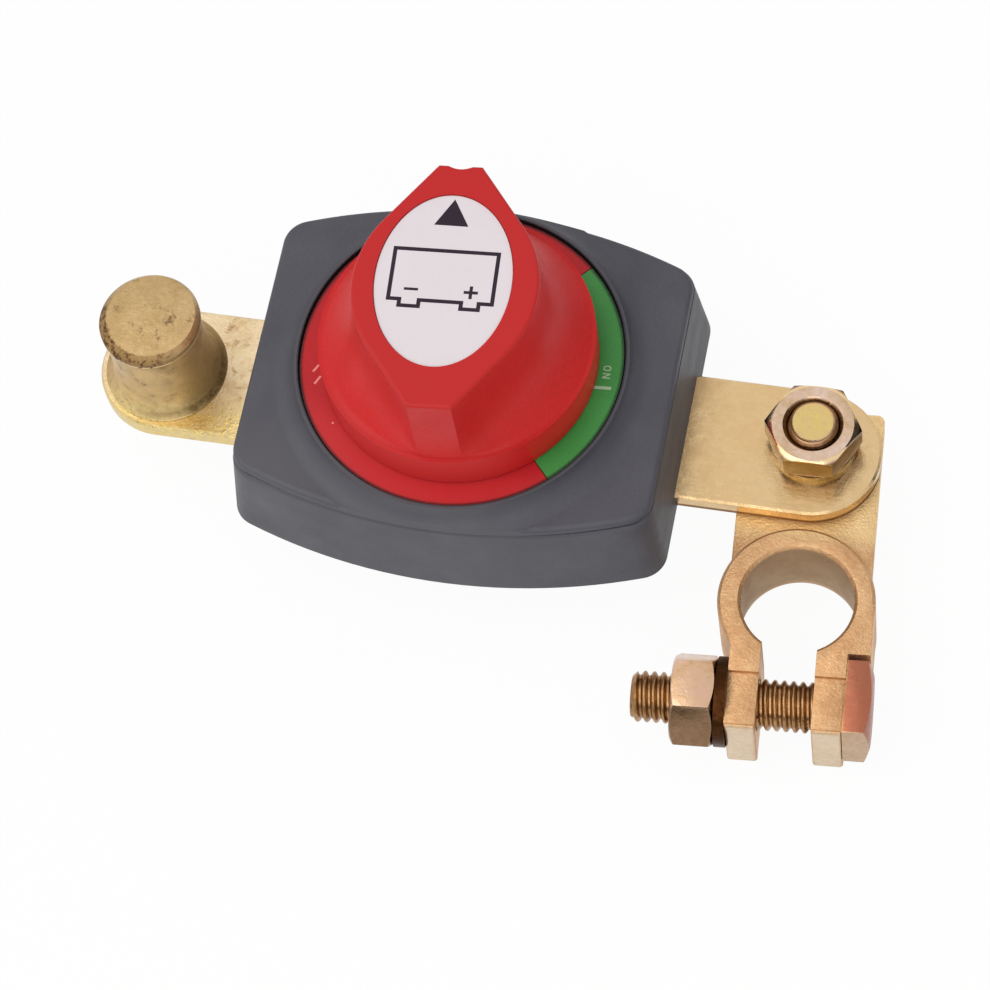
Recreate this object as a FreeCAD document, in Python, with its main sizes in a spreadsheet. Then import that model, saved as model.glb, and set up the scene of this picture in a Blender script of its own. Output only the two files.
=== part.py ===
import FreeCAD, Part
import math
import os
import Sketcher
from FreeCAD import Placement, Rotation, Vector

# Battery disconnect switch in millimetres. The knob turns about +Z through the origin, the
# housing's underside lies at height 0, +X points to the clamp and the clamp's ears face -Y.

SIZES = [
    ("housing_half_width", 34.1, "side walls from the middle, at the underside"),
    ("housing_corner_depth", 22.4, "front wall from the middle at its corners, at the underside"),
    ("housing_bulge", 6.5, "how far the front wall bows out past its corners"),
    ("housing_corner_round", 4.4, "radius of the upright corners"),
    ("housing_draft", 6, "lean of the walls, in degrees"),
    ("housing_wall", 2.2, "wall of the lower moulding"),
    ("floor_thickness", 2.2, "floor of the lower moulding"),
    ("seam_bevel", 0.4, "bevel that shows the parting line"),
    ("plate_thickness", 1.6, "top plate of the cover, above the parting line"),
    ("top_edge_round", 0.8, "rounding of the cover's edge"),
    ("rim_depth", 3.0, "how far the cover's rim reaches into the lower moulding"),
    ("rim_wall", 1.6, "wall of that rim"),
    ("rim_gap", 0.1, "gap between that rim and the wall"),
    ("lip_proud", 0.6, "top of the round lip above the dial"),
    ("lip_width", 0.6, "width of the lip's crest"),
    ("lip_flare", 3.8, "how far the hollow foot of the lip spreads"),
    ("lip_hollow", 0.3, "share of that spread at the middle of the hollow"),
    ("dial_radius", 24.8, "dial plate"),
    ("dial_gap", 0.3, "gap between the dial and the lip"),
    ("dial_thickness", 1.1, "dial plate"),
    ("seat_rise", 1.75, "the dial's seat above the top plate"),
    ("seat_thickness", 2.15, "floor under the dial"),
    ("dial_bore", 9.0, "hole in the dial round the rotor"),
    ("sector_half_angle", 47, "half of the green sector, in degrees"),
    ("sector_inner", 17.5, "inner edge of the green sector"),
    ("sector_gap", 0.15, "joint round the green sector"),
    ("ceiling_radius", 23.0, "round recess inside the cover"),
    ("knob_radius", 21.1, "skirt of the knob"),
    ("knob_edge_round", 0.6, "rounding of the skirt's upper edge"),
    ("knob_clearance", 0.35, "gap between the knob and the dial"),
    ("knob_wall", 2.3, "wall of the knob"),
    ("skirt_height", 6.7, "upright band of the skirt"),
    ("grip_height", 16.4, "grip above the skirt"),
    ("grip_half_length", 20.2, "grip from the axis to its tips"),
    ("grip_half_width", 13.9, "grip from the axis to its flanks"),
    ("grip_tip_half", 3.3, "half width of the flat tips"),
    ("grip_turn_across", 10.6, "where the flank's arc turns into a flat, across"),
    ("grip_turn_along", 10.3, "where the flank's arc turns into a flat, along"),
    ("grip_edge_round", 0.5, "rounding of the grip's upper edge"),
    ("flare_low_rise", 2.2, "first section above the skirt"),
    ("flare_low_share", 0.56, "how much of the skirt's spread is left there"),
    ("flare_mid_rise", 6.0, "second section above the skirt"),
    ("flare_mid_share", 0.2, "how much of the skirt's spread is left there"),
    ("flare_high_rise", 11.0, "third section above the skirt"),
    ("flare_high_share", 0.05, "how much of the skirt's spread is left there"),
    ("pointer_notch", 0.7, "hollow in the pointing tip"),
    ("pointer_notch_radius", 3.4, "radius of the hollow in the pointing tip"),
    ("knob_rest_angle", 4.5, "how far the knob stands past the +Y line, in degrees"),
    ("hub_radius", 7.2, "boss in the knob round the square drive"),
    ("well_depth", 12.0, "floor of the screw's well below the grip's top"),
    ("hub_web", 1.4, "wall between that floor and the square drive"),
    ("well_radius", 4.0, "well over the screw"),
    ("roof_thickness", 2.55, "grip's wall under the label"),
    ("label_half_width", 10.2, "oval label"),
    ("label_half_length", 14.3, "oval label"),
    ("label_shift", 0.8, "middle of the label towards the pointing tip"),
    ("label_side", 0.35, "middle of the label off the grip's middle, away from the dial's sector"),
    ("label_thickness", 0.8, "oval label"),
    ("label_depth", 1.05, "recess for the label"),
    ("label_gap", 0.1, "gap round the label"),
    ("knob_screw_radius", 2.0, "screw that holds the knob"),
    ("knob_screw_head_radius", 3.6, "head of that screw"),
    ("knob_screw_head_height", 2.4, "head of that screw"),
    ("knob_screw_length", 10.0, "shank of that screw"),
    ("knob_screw_socket", 1.1, "cross recess of that screw, half length"),
    ("screw_play", 0.05, "gap round the screws"),
    ("shaft_radius", 5.0, "rotor in its bushing"),
    ("shaft_clearance", 0.05, "running fit of the rotor"),
    ("bushing_wall", 2.6, "bushing of the cover round the rotor"),
    ("bushing_gap", 0.15, "play between the bushing and the rotor's flange"),
    ("drive_side", 6.6, "square drive of the rotor"),
    ("drive_clearance", 0.05, "fit of the square drive"),
    ("drive_end_gap", 0.2, "room above the end of the square drive"),
    ("shaft_proud", 0.75, "where the round shaft turns square, above the dial's seat"),
    ("flange_radius", 15.0, "flange of the rotor"),
    ("flange_gap", 0.55, "gap between the bridge and the flange"),
    ("flange_thickness", 3.8, "flange of the rotor"),
    ("headroom", 2.3, "ceiling above the flange"),
    ("carrier_radius", 9.6, "drum under the flange that turns the bridge"),
    ("carrier_depth", 3.6, "drum under the flange"),
    ("bridge_half_length", 17.0, "contact bridge"),
    ("bridge_width", 11.0, "contact bridge"),
    ("bridge_thickness", 2.4, "contact bridge"),
    ("bridge_clearance", 0.1, "play of the bridge in its slot"),
    ("bridge_lift", 0.05, "play between the bridge and the contact tips"),
    ("nub_radius", 2.4, "nub that centres the contact spring"),
    ("nub_height", 1.2, "nub that centres the contact spring"),
    ("spring_radius", 3.4, "contact spring, middle of the wire"),
    ("spring_wire", 0.45, "contact spring, radius of the wire"),
    ("spring_turns", 3, "contact spring"),
    ("spring_pocket_radius", 4.2, "pocket for the contact spring"),
    ("spring_pocket_depth", 4.8, "pocket for the contact spring"),
    ("seal_wire", 0.7, "shaft seal, radius of its section"),
    ("seal_play", 0.03, "gap between the seal and its seats"),
    ("seal_drop", 1.55, "shaft seal below the dial's seat"),
    ("bar_half_width", 10.6, "terminal bars"),
    ("bar_thickness", 3.0, "terminal bars"),
    ("bar_edge", 0.35, "bevel along the upper edges of the bars"),
    ("bar_inner_end", 10.0, "inner ends of the bars from the axis"),
    ("bar_step_inner", 28.2, "where the bars start to step down, from the axis"),
    ("bar_step_outer", 31.4, "where the bars have stepped down, from the axis"),
    ("right_bar_reach", 53.5, "middle of the right bar's round end"),
    ("left_bar_reach", 49.5, "middle of the left bar's round end"),
    ("tip_radius", 3.6, "contact tips"),
    ("tip_height", 2.0, "contact tips"),
    ("tip_place", 14.0, "contact tips from the axis"),
    ("post_rim_radius", 8.05, "battery post, rim of its top"),
    ("post_neck_radius", 7.6, "battery post, below the rim"),
    ("post_foot_radius", 9.7, "battery post, flared foot"),
    ("post_foot_height", 0.6, "upright edge of the foot"),
    ("post_flare_height", 8.2, "height of the flare above the foot"),
    ("post_top", 19.7, "battery post"),
    ("post_rim_height", 1.0, "height of the rim's upright face"),
    ("post_bevel", 0.45, "bevel round the top"),
    ("rivet_radius", 4.5, "shank of the post in the bar"),
    ("stud_offset", 1.5, "terminal bolt behind the middle of the right bar"),
    ("thread_radius", 4.0, "clamp bolts"),
    ("bolt_clearance", 0.08, "holes for the clamp bolts"),
    ("flats", 13.0, "heads and nuts across their flats"),
    ("head_height", 4.5, "head of the terminal bolt"),
    ("square_side", 11.7, "square head of the pinch bolt"),
    ("square_height", 4.1, "square head of the pinch bolt"),
    ("square_land", 5.5, "flat middle of that head's outer face"),
    ("square_bevel", 0.9, "bevel of that head's corners"),
    ("nut_height", 6.7, "nuts"),
    ("nut_mouth", 4.6, "countersunk mouth of the nuts"),
    ("hex_land", 6.7, "flat ring at the ends of the hexagons"),
    ("hex_bevel", 0.5, "bevel of the hexagons' corners"),
    ("nut_turn", 1.5, "how far the terminal nut is turned, in degrees"),
    ("stud_proud", 0.7, "terminal bolt above its nut"),
    ("end_bevel", 0.6, "bevel of the bolts' ends"),
    ("washer_radius", 6.9, "spring washer"),
    ("washer_thickness", 1.7, "spring washer"),
    ("washer_split", 1.2, "split of the spring washer"),
    ("clamp_swivel", 4.4, "how far the clamp is swung about the terminal bolt, in degrees"),
    ("tab_left", 11.1, "side of the clamp's tab from the terminal bolt, on the nut's side"),
    ("tab_right", 10.4, "side of the clamp's tab from the terminal bolt, on the head's side"),
    ("tab_back", 6.9, "tab behind the terminal bolt"),
    ("tab_thickness", 3.5, "tab of the clamp"),
    ("tab_round", 1.2, "corners of the tab"),
    ("ring_reach", 25.7, "bore of the clamp from the terminal bolt"),
    ("ring_shift", 0.45, "bore of the clamp to the nut's side of the terminal bolt"),
    ("ring_offset", 0.2, "middle of the ring's outside from the bore, towards the nut"),
    ("ring_radius", 12.0, "outside of the clamp's ring"),
    ("clamp_bore", 8.6, "bore of the clamp"),
    ("clamp_bevel", 0.5, "bevel round the ring and its bore"),
    ("ring_top", 1.5, "upper face of the ring"),
    ("ring_height", 14.6, "height of the ring"),
    ("bore_mouth", 9.3, "lower mouth of the bore"),
    ("bore_mouth_depth", 5.0, "height of the flared lower mouth"),
    ("slot_half_width", 4.2, "slot between the ears"),
    ("slot_shift", 0.6, "middle of the slot from the bore, towards the nut"),
    ("ear_thickness", 4.65, "ears of the clamp"),
    ("ear_start", 12.3, "where the ears step down, in front of the bore"),
    ("ear_front", 21.2, "front faces of the ears, in front of the bore"),
    ("ear_step", 0.8, "how far the ears lie below the ring"),
    ("ear_round", 0.8, "rounding of the ears' front edges"),
    ("neck_left", 10.5, "neck behind the ears, on the nut's side"),
    ("neck_taper", 5.5, "where that side starts to draw in, in front of the bore"),
    ("washer_gap", 0.2, "gap between the neck and the spring washer"),
    ("lug_outer", 11.7, "shoulder that keeps the bolt head from turning"),
    ("lug_gap", 0.9, "gap between that shoulder and the bolt head"),
    ("pinch_place", 15.1, "pinch bolt in front of the bore"),
    ("pinch_drop", 4.5, "pinch bolt below the bars"),
    ("pinch_length", 32.3, "pinch bolt under its head"),
    ("screw_across", 26.3, "housing screws from the middle, sideways"),
    ("screw_along", 15.8, "housing screws from the middle, lengthways"),
    ("screw_radius", 1.5, "housing screws"),
    ("screw_head_radius", 2.8, "heads of the housing screws"),
    ("screw_head_height", 1.8, "heads of the housing screws"),
    ("screw_head_room", 0.3, "gap round the heads of the housing screws"),
    ("screw_sink", 2.6, "where those heads bear, above the underside"),
    ("screw_length", 10.4, "shanks of the housing screws"),
    ("screw_tip_room", 0.6, "room past the ends of the housing screws"),
    ("screw_post_radius", 4.3, "posts for the housing screws"),
    ("screw_post_top", 9.0, "where the body's posts meet the cover's"),
]

doc = FreeCAD.newDocument("BatterySwitch")
sheet = doc.addObject("Spreadsheet::Sheet", "Dim")
for row, (alias, number, note) in enumerate(SIZES, 1):
    sheet.set("A%d" % row, note)
    sheet.set("B%d" % row, str(number))
    sheet.setAlias("B%d" % row, alias)
doc.recompute()

nodes = []


def value(text):
    found = sheet.evalExpression(str(text))
    return float(getattr(found, "Value", found))


def bind(thing, **sizes):
    """Ties properties of an object to expressions of the sheet."""
    for name, text in sizes.items():
        thing.setExpression(name, str(text))
    return thing


def place(thing, x=0, y=0, z=0, turn=None, axis=(0, 0, 1)):
    """Puts an object in place, turned by so many degrees about an axis."""
    if turn is not None:
        thing.Placement = Placement(Vector(), Rotation(Vector(*axis), value(turn)))
        thing.setExpression("Placement.Rotation.Angle", "(%s) * 1 deg" % turn)
    thing.setExpression("Placement.Base.x", str(x))
    thing.setExpression("Placement.Base.y", str(y))
    thing.setExpression("Placement.Base.z", str(z))
    return thing


def cylinder(name, radius, low, high, x=0, y=0):
    thing = doc.addObject("Part::Cylinder", name)
    bind(thing, Radius=radius, Height="(%s) - (%s)" % (high, low))
    return place(thing, x, y, low)


def box(name, low, high):
    thing = doc.addObject("Part::Box", name)
    spans = ["(%s) - (%s)" % (b, a) for a, b in zip(low, high)]
    bind(thing, Length=spans[0], Width=spans[1], Height=spans[2])
    return place(thing, *low)


def cut(name, base, *tools):
    thing = doc.addObject("Part::Cut", name)
    thing.Base = base
    thing.Tool = tools[0] if len(tools) == 1 else fuse(name + "Tools", *tools)
    return thing


def common(name, base, tool):
    thing = doc.addObject("Part::Common", name)
    thing.Base = base
    thing.Tool = tool
    return thing


def fuse(name, *pieces):
    thing = doc.addObject("Part::MultiFuse", name)
    thing.Shapes = list(pieces)
    return thing


def node(label, thing):
    thing.Label = label
    nodes.append(thing)
    return thing


def new_body(name):
    return doc.addObject("PartDesign::Body", name)


def sketch(body, name, role="XY_Plane", height=0):
    """An empty sketch of a body, on one of its origin planes or at a height above it."""
    drawing = body.newObject("Sketcher::SketchObject", name)
    for feature in body.Origin.OriginFeatures:
        if feature.Role == role:
            drawing.AttachmentSupport = [(feature, "")]
    drawing.MapMode = "FlatFace"
    drawing.setExpression("AttachmentOffset.Base.z", str(height))
    return drawing


def fix_point(drawing, geometry, vertex, x, y):
    """Ties one point of a sketch to two expressions."""
    for kind, text in (("DistanceX", x), ("DistanceY", y)):
        text = str(text)
        rule = Sketcher.Constraint(kind, -1, 1, geometry, vertex, value(text))
        number = drawing.addConstraint(rule)
        drawing.setExpression("Constraints[%d]" % number, text)


def outline(drawing, *corners):
    """Closed outline through corners (x, y). A corner (x, y, mx, my) is reached by the arc
    that passes through (mx, my)."""
    points = [Vector(value(c[0]), value(c[1]), 0) for c in corners]
    ends = []
    for index, corner in enumerate(corners):
        first = points[index - 1]
        last = points[index]
        if len(corner) == 2:
            drawing.addGeometry(Part.LineSegment(first, last), False)
            ends.append((1, 2))
            continue
        crown = Vector(value(corner[2]), value(corner[3]), 0)
        forward = (crown - first).cross(last - crown).z > 0
        start, finish = (first, last) if forward else (last, first)
        ring = Part.Arc(start, crown, finish).toShape().Curve
        centre = ring.Center
        angles = [math.atan2(p.y - centre.y, p.x - centre.x) for p in (start, finish)]
        if angles[1] < angles[0]:
            angles[1] += 2 * math.pi
        upright = Part.Circle(centre, Vector(0, 0, 1), ring.Radius)
        drawing.addGeometry(Part.ArcOfCircle(upright, angles[0], angles[1]), False)
        ends.append((1, 2) if forward else (2, 1))
    count = len(corners)
    for index in range(count):
        after = (index + 1) % count
        rule = Sketcher.Constraint("Coincident", index, ends[index][1], after, ends[after][0])
        drawing.addConstraint(rule)
        fix_point(drawing, index, ends[index][1], corners[index][0], corners[index][1])
    for index, corner in enumerate(corners):
        if len(corner) == 4:
            crown = Vector(value(corner[2]), value(corner[3]), 0)
            mark = drawing.addGeometry(Part.Point(crown), True)
            fix_point(drawing, mark, 1, corner[2], corner[3])
            drawing.addConstraint(Sketcher.Constraint("PointOnObject", mark, 1, index))
    return drawing


def rectangle(drawing, x1, y1, x2, y2):
    return outline(drawing, (x1, y1), (x2, y1), (x2, y2), (x1, y2))


def circle(drawing, radius, x=0, y=0):
    number = drawing.addGeometry(Part.Circle(Vector(), Vector(0, 0, 1), value(radius)), False)
    fix_point(drawing, number, 3, x, y)
    rule = drawing.addConstraint(Sketcher.Constraint("Radius", number, value(radius)))
    drawing.setExpression("Constraints[%d]" % rule, str(radius))
    return drawing


def pad(body, name, drawing, length, lean=None):
    """Raises an outline by a length; a lean draws the walls in as they rise."""
    thing = body.newObject("PartDesign::Pad", name)
    thing.Profile = drawing
    bind(thing, Length=length)
    if lean is not None:
        thing.setExpression("TaperAngle", "-(%s) * 1 deg" % lean)
    return thing


def pocket(body, name, drawing, through=True, depth=None, upwards=False):
    """Cuts an outline out of a body, downwards unless told otherwise."""
    thing = body.newObject("PartDesign::Pocket", name)
    thing.Profile = drawing
    thing.Reversed = upwards
    if depth is None:
        thing.Type = "ThroughAll"
        thing.Midplane = through
    else:
        bind(thing, Length=depth)
    return thing


def turned(name, *corners):
    """A body turned about Z from corners given as (radius, height)."""
    body = new_body(name)
    drawing = outline(sketch(body, name + "Profile", "XZ_Plane"), *corners)
    thing = body.newObject("PartDesign::Revolution", name + "Turn")
    thing.Profile = drawing
    thing.ReferenceAxis = (drawing, ["V_Axis"])
    return body


def dress(body, kind, name, amount, wanted):
    """Rounds or bevels the edges of a body whose middles pass a test."""
    doc.recompute()
    base = body.Tip
    found = []
    for number, edge in enumerate(base.Shape.Edges, 1):
        middle = edge.valueAt((edge.FirstParameter + edge.LastParameter) / 2)
        if wanted(middle, edge):
            found.append("Edge%d" % number)
    thing = body.newObject("PartDesign::" + kind, name)
    thing.Base = (base, found)
    if kind == "Fillet":
        bind(thing, Radius=amount)
    else:
        bind(thing, Size=amount)
    return thing


def near(one, text):
    return abs(one - value(text)) < 1e-3


def leaned(height):
    """How far the drafted walls have moved inwards at a height."""
    return "(%s) * tan(Dim.housing_draft * 1 deg)" % height


def barrel(drawing, inset):
    """Plan of the housing: straight sides, bowed front and back, moved inwards by an inset."""
    wide = "(Dim.housing_half_width - (%s))" % inset
    deep = "(Dim.housing_corner_depth - (%s))" % inset
    crown = "(%s + Dim.housing_bulge)" % deep
    return outline(
        drawing,
        (wide, "-%s" % deep, 0, "-%s" % crown),
        (wide, deep),
        ("-%s" % wide, deep, 0, crown),
        ("-%s" % wide, "-%s" % deep),
    )


def barrel_block(name, inset, low, high, round_corners):
    """Drafted barrel between two heights, inside the walls by an inset."""
    body = new_body(name)
    drawing = barrel(sketch(body, name + "Plan", "XY_Plane", low), "%s + %s" % (inset, leaned(low)))
    pad(body, name + "Pad", drawing, "(%s) - (%s)" % (high, low), "Dim.housing_draft")

    def corner(middle, edge):
        return abs(edge.tangentAt(edge.FirstParameter).z) > 0.8

    dress(body, "Fillet", name + "Corners", round_corners, corner)
    return body


# Heights that several pieces share, from the underside upwards.
bar_high = "(Dim.floor_thickness + Dim.bar_thickness)"
tip_top = "(%s + Dim.tip_height)" % bar_high
bridge_low = "(%s + Dim.bridge_lift)" % tip_top
bridge_high = "(%s + Dim.bridge_thickness)" % bridge_low
flange_bottom = "(%s + Dim.flange_gap)" % bridge_high
flange_top = "(%s + Dim.flange_thickness)" % flange_bottom
ceiling_height = "(%s + Dim.headroom)" % flange_top
recess_floor = "(%s + Dim.seat_thickness)" % ceiling_height
top_height = "(%s - Dim.seat_rise)" % recess_floor
seam_height = "(%s - Dim.plate_thickness)" % top_height
dial_top = "(%s + Dim.dial_thickness)" % recess_floor
lip_height = "(%s + Dim.lip_proud)" % dial_top
skirt_low = "(%s + Dim.knob_clearance)" % dial_top
skirt_high = "(%s + Dim.skirt_height)" % skirt_low
grip_top = "(%s + Dim.grip_height)" % skirt_high
hub_floor = "(%s - Dim.well_depth)" % grip_top
socket_top = "(%s - Dim.hub_web)" % hub_floor
drive_top = "(%s - Dim.drive_end_gap)" % socket_top

# Screws that join the two mouldings, one in each corner.
CORNERS = [(a, b) for a in ("", "-") for b in ("", "-")]


def at_corners(name, radius, low, high):
    pieces = []
    for number, (a, b) in enumerate(CORNERS, 1):
        x = a + "Dim.screw_across"
        y = b + "Dim.screw_along"
        pieces.append(cylinder("%s%d" % (name, number), radius, low, high, x, y))
    return pieces


screw_end = "(Dim.screw_sink + Dim.screw_length)"
screw_heads = at_corners("ScrewHead", "Dim.screw_head_radius", "Dim.screw_sink - Dim.screw_head_height",
                         "Dim.screw_sink")
screw_shanks = at_corners("ScrewShank", "Dim.screw_radius", "Dim.screw_sink", screw_end)
node("housing_screws", fuse("HousingScrews", *(screw_heads + screw_shanks)))


# Terminal bars, stepped up inside the walls.
def bar(name, side, reach):
    """A terminal bar; side is "" for the right one and "-" for the left one."""
    body = new_body(name)
    low = "Dim.floor_thickness"
    high = bar_high
    profile = outline(
        sketch(body, name + "Side", "XZ_Plane"),
        (side + "Dim.bar_inner_end", low),
        (side + "Dim.bar_inner_end", high),
        (side + "Dim.bar_step_inner", high),
        (side + "Dim.bar_step_outer", "Dim.bar_thickness"),
        (side + reach, "Dim.bar_thickness"),
        (side + reach, 0),
        (side + "Dim.bar_step_outer", 0),
        (side + "Dim.bar_step_inner", low),
    )
    strip = pad(body, name + "Strip", profile, "2 * Dim.bar_half_width")
    strip.Midplane = True
    end = circle(sketch(body, name + "EndPlan"), "Dim.bar_half_width", side + reach)
    pad(body, name + "End", end, "Dim.bar_thickness")

    def upper_outer(middle, edge):
        return near(middle.z, "Dim.bar_thickness") and abs(middle.x) > value("Dim.bar_step_outer + 1") \
            and (abs(middle.y) > 1 or near(abs(middle.x), reach + " + Dim.bar_half_width")) \
            and not near(abs(middle.x), reach)

    dress(body, "Chamfer", name + "Edge", "Dim.bar_edge", upper_outer)
    return body


right_bar = bar("RightBar", "", "Dim.right_bar_reach")
stud_hole = circle(sketch(right_bar, "StudHolePlan"), "Dim.thread_radius + Dim.bolt_clearance",
                   "Dim.right_bar_reach", "Dim.stud_offset")
pocket(right_bar, "StudHole", stud_hole)
node("right_bar", right_bar)

left_bar = bar("LeftBar", "-", "Dim.left_bar_reach")
rivet_hole = circle(sketch(left_bar, "RivetHolePlan"), "Dim.rivet_radius", "-Dim.left_bar_reach")
pocket(left_bar, "RivetHole", rivet_hole)
node("left_bar", left_bar)

node("contact_tips", fuse(
    "ContactTips",
    cylinder("RightTip", "Dim.tip_radius", bar_high, tip_top, "Dim.tip_place"),
    cylinder("LeftTip", "Dim.tip_radius", bar_high, tip_top, "-Dim.tip_place"),
))

# Battery post: flared foot, straight neck and a slightly proud rim, riveted into the left bar.
flare_end = "(Dim.bar_thickness + Dim.post_foot_height + Dim.post_flare_height)"
flare_middle = "Dim.bar_thickness + Dim.post_foot_height + Dim.post_flare_height / 2"
rim_foot = "(Dim.post_top - Dim.post_bevel - Dim.post_rim_height)"
post = turned(
    "BatteryPost",
    (0, 0),
    ("Dim.rivet_radius", 0),
    ("Dim.rivet_radius", "Dim.bar_thickness"),
    ("Dim.post_foot_radius", "Dim.bar_thickness"),
    ("Dim.post_foot_radius", "Dim.bar_thickness + Dim.post_foot_height"),
    ("Dim.post_neck_radius", flare_end,
     "Dim.post_neck_radius + (Dim.post_foot_radius - Dim.post_neck_radius) / 4", flare_middle),
    ("Dim.post_neck_radius", "%s - (Dim.post_rim_radius - Dim.post_neck_radius)" % rim_foot),
    ("Dim.post_rim_radius", rim_foot),
    ("Dim.post_rim_radius", "Dim.post_top - Dim.post_bevel"),
    ("Dim.post_rim_radius - Dim.post_bevel", "Dim.post_top"),
    (0, "Dim.post_top"),
)
node("battery_post", place(post, "-Dim.left_bar_reach"))

# Lower moulding: an open tray with posts for the screws, closed round the bars.
shell = barrel_block("BodyOuter", "0", "0", seam_height, "Dim.housing_corner_round")
dress(shell, "Chamfer", "BodySeam", "Dim.seam_bevel", lambda m, e: near(m.z, seam_height))
hollow = barrel_block("BodyHollow", "Dim.housing_wall", "Dim.floor_thickness", top_height,
                      "Dim.housing_corner_round - Dim.housing_wall / 2")
tray = cut("BodyTray", shell, hollow)
posts = at_corners("BodyPost", "Dim.screw_post_radius", "Dim.floor_thickness / 2", "Dim.screw_post_top")
holes = at_corners("BodyHole", "Dim.screw_radius + Dim.screw_play", "0", seam_height)
bores = at_corners("BodyBore", "Dim.screw_head_radius + Dim.screw_head_room", "0", "Dim.screw_sink")
solid_tray = fuse("BodyWithPosts", tray, *posts)
node("housing_body", cut("HousingBody", solid_tray, *(holes + bores + [right_bar, left_bar])))

# Upper moulding: plate with a raised round lip whose foot is hollowed, cut off by the walls.
plate = barrel_block("CoverPlate", "0", seam_height, top_height, "Dim.housing_corner_round")
dress(plate, "Chamfer", "CoverSeam", "Dim.seam_bevel", lambda m, e: near(m.z, seam_height))
dress(plate, "Fillet", "CoverEdge", "Dim.top_edge_round", lambda m, e: near(m.z, top_height))
recess_radius = "(Dim.dial_radius + Dim.dial_gap)"
lip_outer = "(%s + Dim.lip_width)" % recess_radius
lip_rise = "(%s - %s)" % (lip_height, top_height)
lip = turned(
    "Lip",
    (0, top_height + " - Dim.top_edge_round"),
    (lip_outer + " + Dim.lip_flare", top_height + " - Dim.top_edge_round"),
    (lip_outer + " + Dim.lip_flare", top_height),
    (lip_outer, lip_height,
     lip_outer + " + Dim.lip_flare * Dim.lip_hollow", "%s + %s * Dim.lip_hollow" % (top_height, lip_rise)),
    (0, lip_height),
)
trim = barrel_block("LipTrim", "0", seam_height, lip_height, "Dim.housing_corner_round")
turret = common("Turret", lip, trim)
rim_inset = "Dim.housing_wall + Dim.rim_gap"
rim_low = "(%s - Dim.rim_depth)" % seam_height
rim_outer = barrel_block("RimOuter", rim_inset, rim_low, seam_height,
                         "Dim.housing_corner_round - Dim.housing_wall / 2")
rim_inner = barrel_block("RimInner", rim_inset + " + Dim.rim_wall", "%s - 1" % rim_low, seam_height,
                         "(Dim.housing_corner_round - Dim.housing_wall) / 2")
rim = cut("Rim", rim_outer, rim_inner)
bosses = at_corners("CoverBoss", "Dim.screw_post_radius", "Dim.screw_post_top", seam_height)
boss_room = "Dim.screw_radius + Dim.screw_play"
boss_holes = at_corners("CoverHole", boss_room, "Dim.screw_post_top", screw_end + " + Dim.screw_tip_room")
within = barrel_block("BossTrim", rim_inset, "Dim.screw_post_top - 1", seam_height,
                      "Dim.housing_corner_round - Dim.housing_wall / 2")
boss_block = common("CoverBosses", fuse("BossGroup", *bosses), within)
ceiling = cylinder("Ceiling", "Dim.ceiling_radius", "%s - 1" % seam_height, ceiling_height)
recess = cylinder("DialRecess", recess_radius, recess_floor, lip_height + " + 1")
shaft_room = "(Dim.shaft_radius + Dim.shaft_clearance)"
bushing_low = "(%s + Dim.bushing_gap)" % flange_top
bushing = cylinder("Bushing", shaft_room + " + Dim.bushing_wall", bushing_low, recess_floor)
bushing_bore = cylinder("BushingBore", shaft_room, "%s - 1" % bushing_low, lip_height)
crown = fuse("CoverCrown", plate, turret)
opened = cut("CoverOpened", crown, ceiling, recess)
joined = fuse("CoverJoined", opened, rim, boss_block, bushing)
node("housing_cover", cut("HousingCover", joined, bushing_bore, *boss_holes))

# Dial plate in the recess, with the sector let into it on the clamp's side.
disc = cylinder("DialDisc", "Dim.dial_radius", recess_floor, dial_top)
dial_bore = cylinder("DialBore", "Dim.dial_bore", recess_floor, dial_top)


def slice_of(name, radius, half_angle):
    piece = cylinder(name, radius, recess_floor, dial_top)
    bind(piece, Angle="2 * (%s) * 1 deg" % half_angle)
    return place(piece, 0, 0, recess_floor, "-(%s)" % half_angle)


sector_core = cylinder("SectorCore", "Dim.sector_inner", recess_floor, dial_top)
sector = cut("Sector", slice_of("SectorSlice", "Dim.dial_radius", "Dim.sector_half_angle"), sector_core)
room_angle = "Dim.sector_half_angle + Dim.sector_gap / Dim.dial_radius * 180 / pi"
room_core = cylinder("SectorRoomCore", "Dim.sector_inner - Dim.sector_gap", recess_floor, dial_top)
sector_room = cut("SectorRoom", slice_of("SectorRoomSlice", "Dim.dial_radius + 1", room_angle), room_core)
node("dial_plate", cut("DialPlate", disc, dial_bore, sector_room))
node("on_sector", sector)


# Knob: round skirt, flanks that sweep up into a lens-shaped grip, hollow underneath.
base_radius = "(Dim.knob_radius - Dim.knob_edge_round)"


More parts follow.
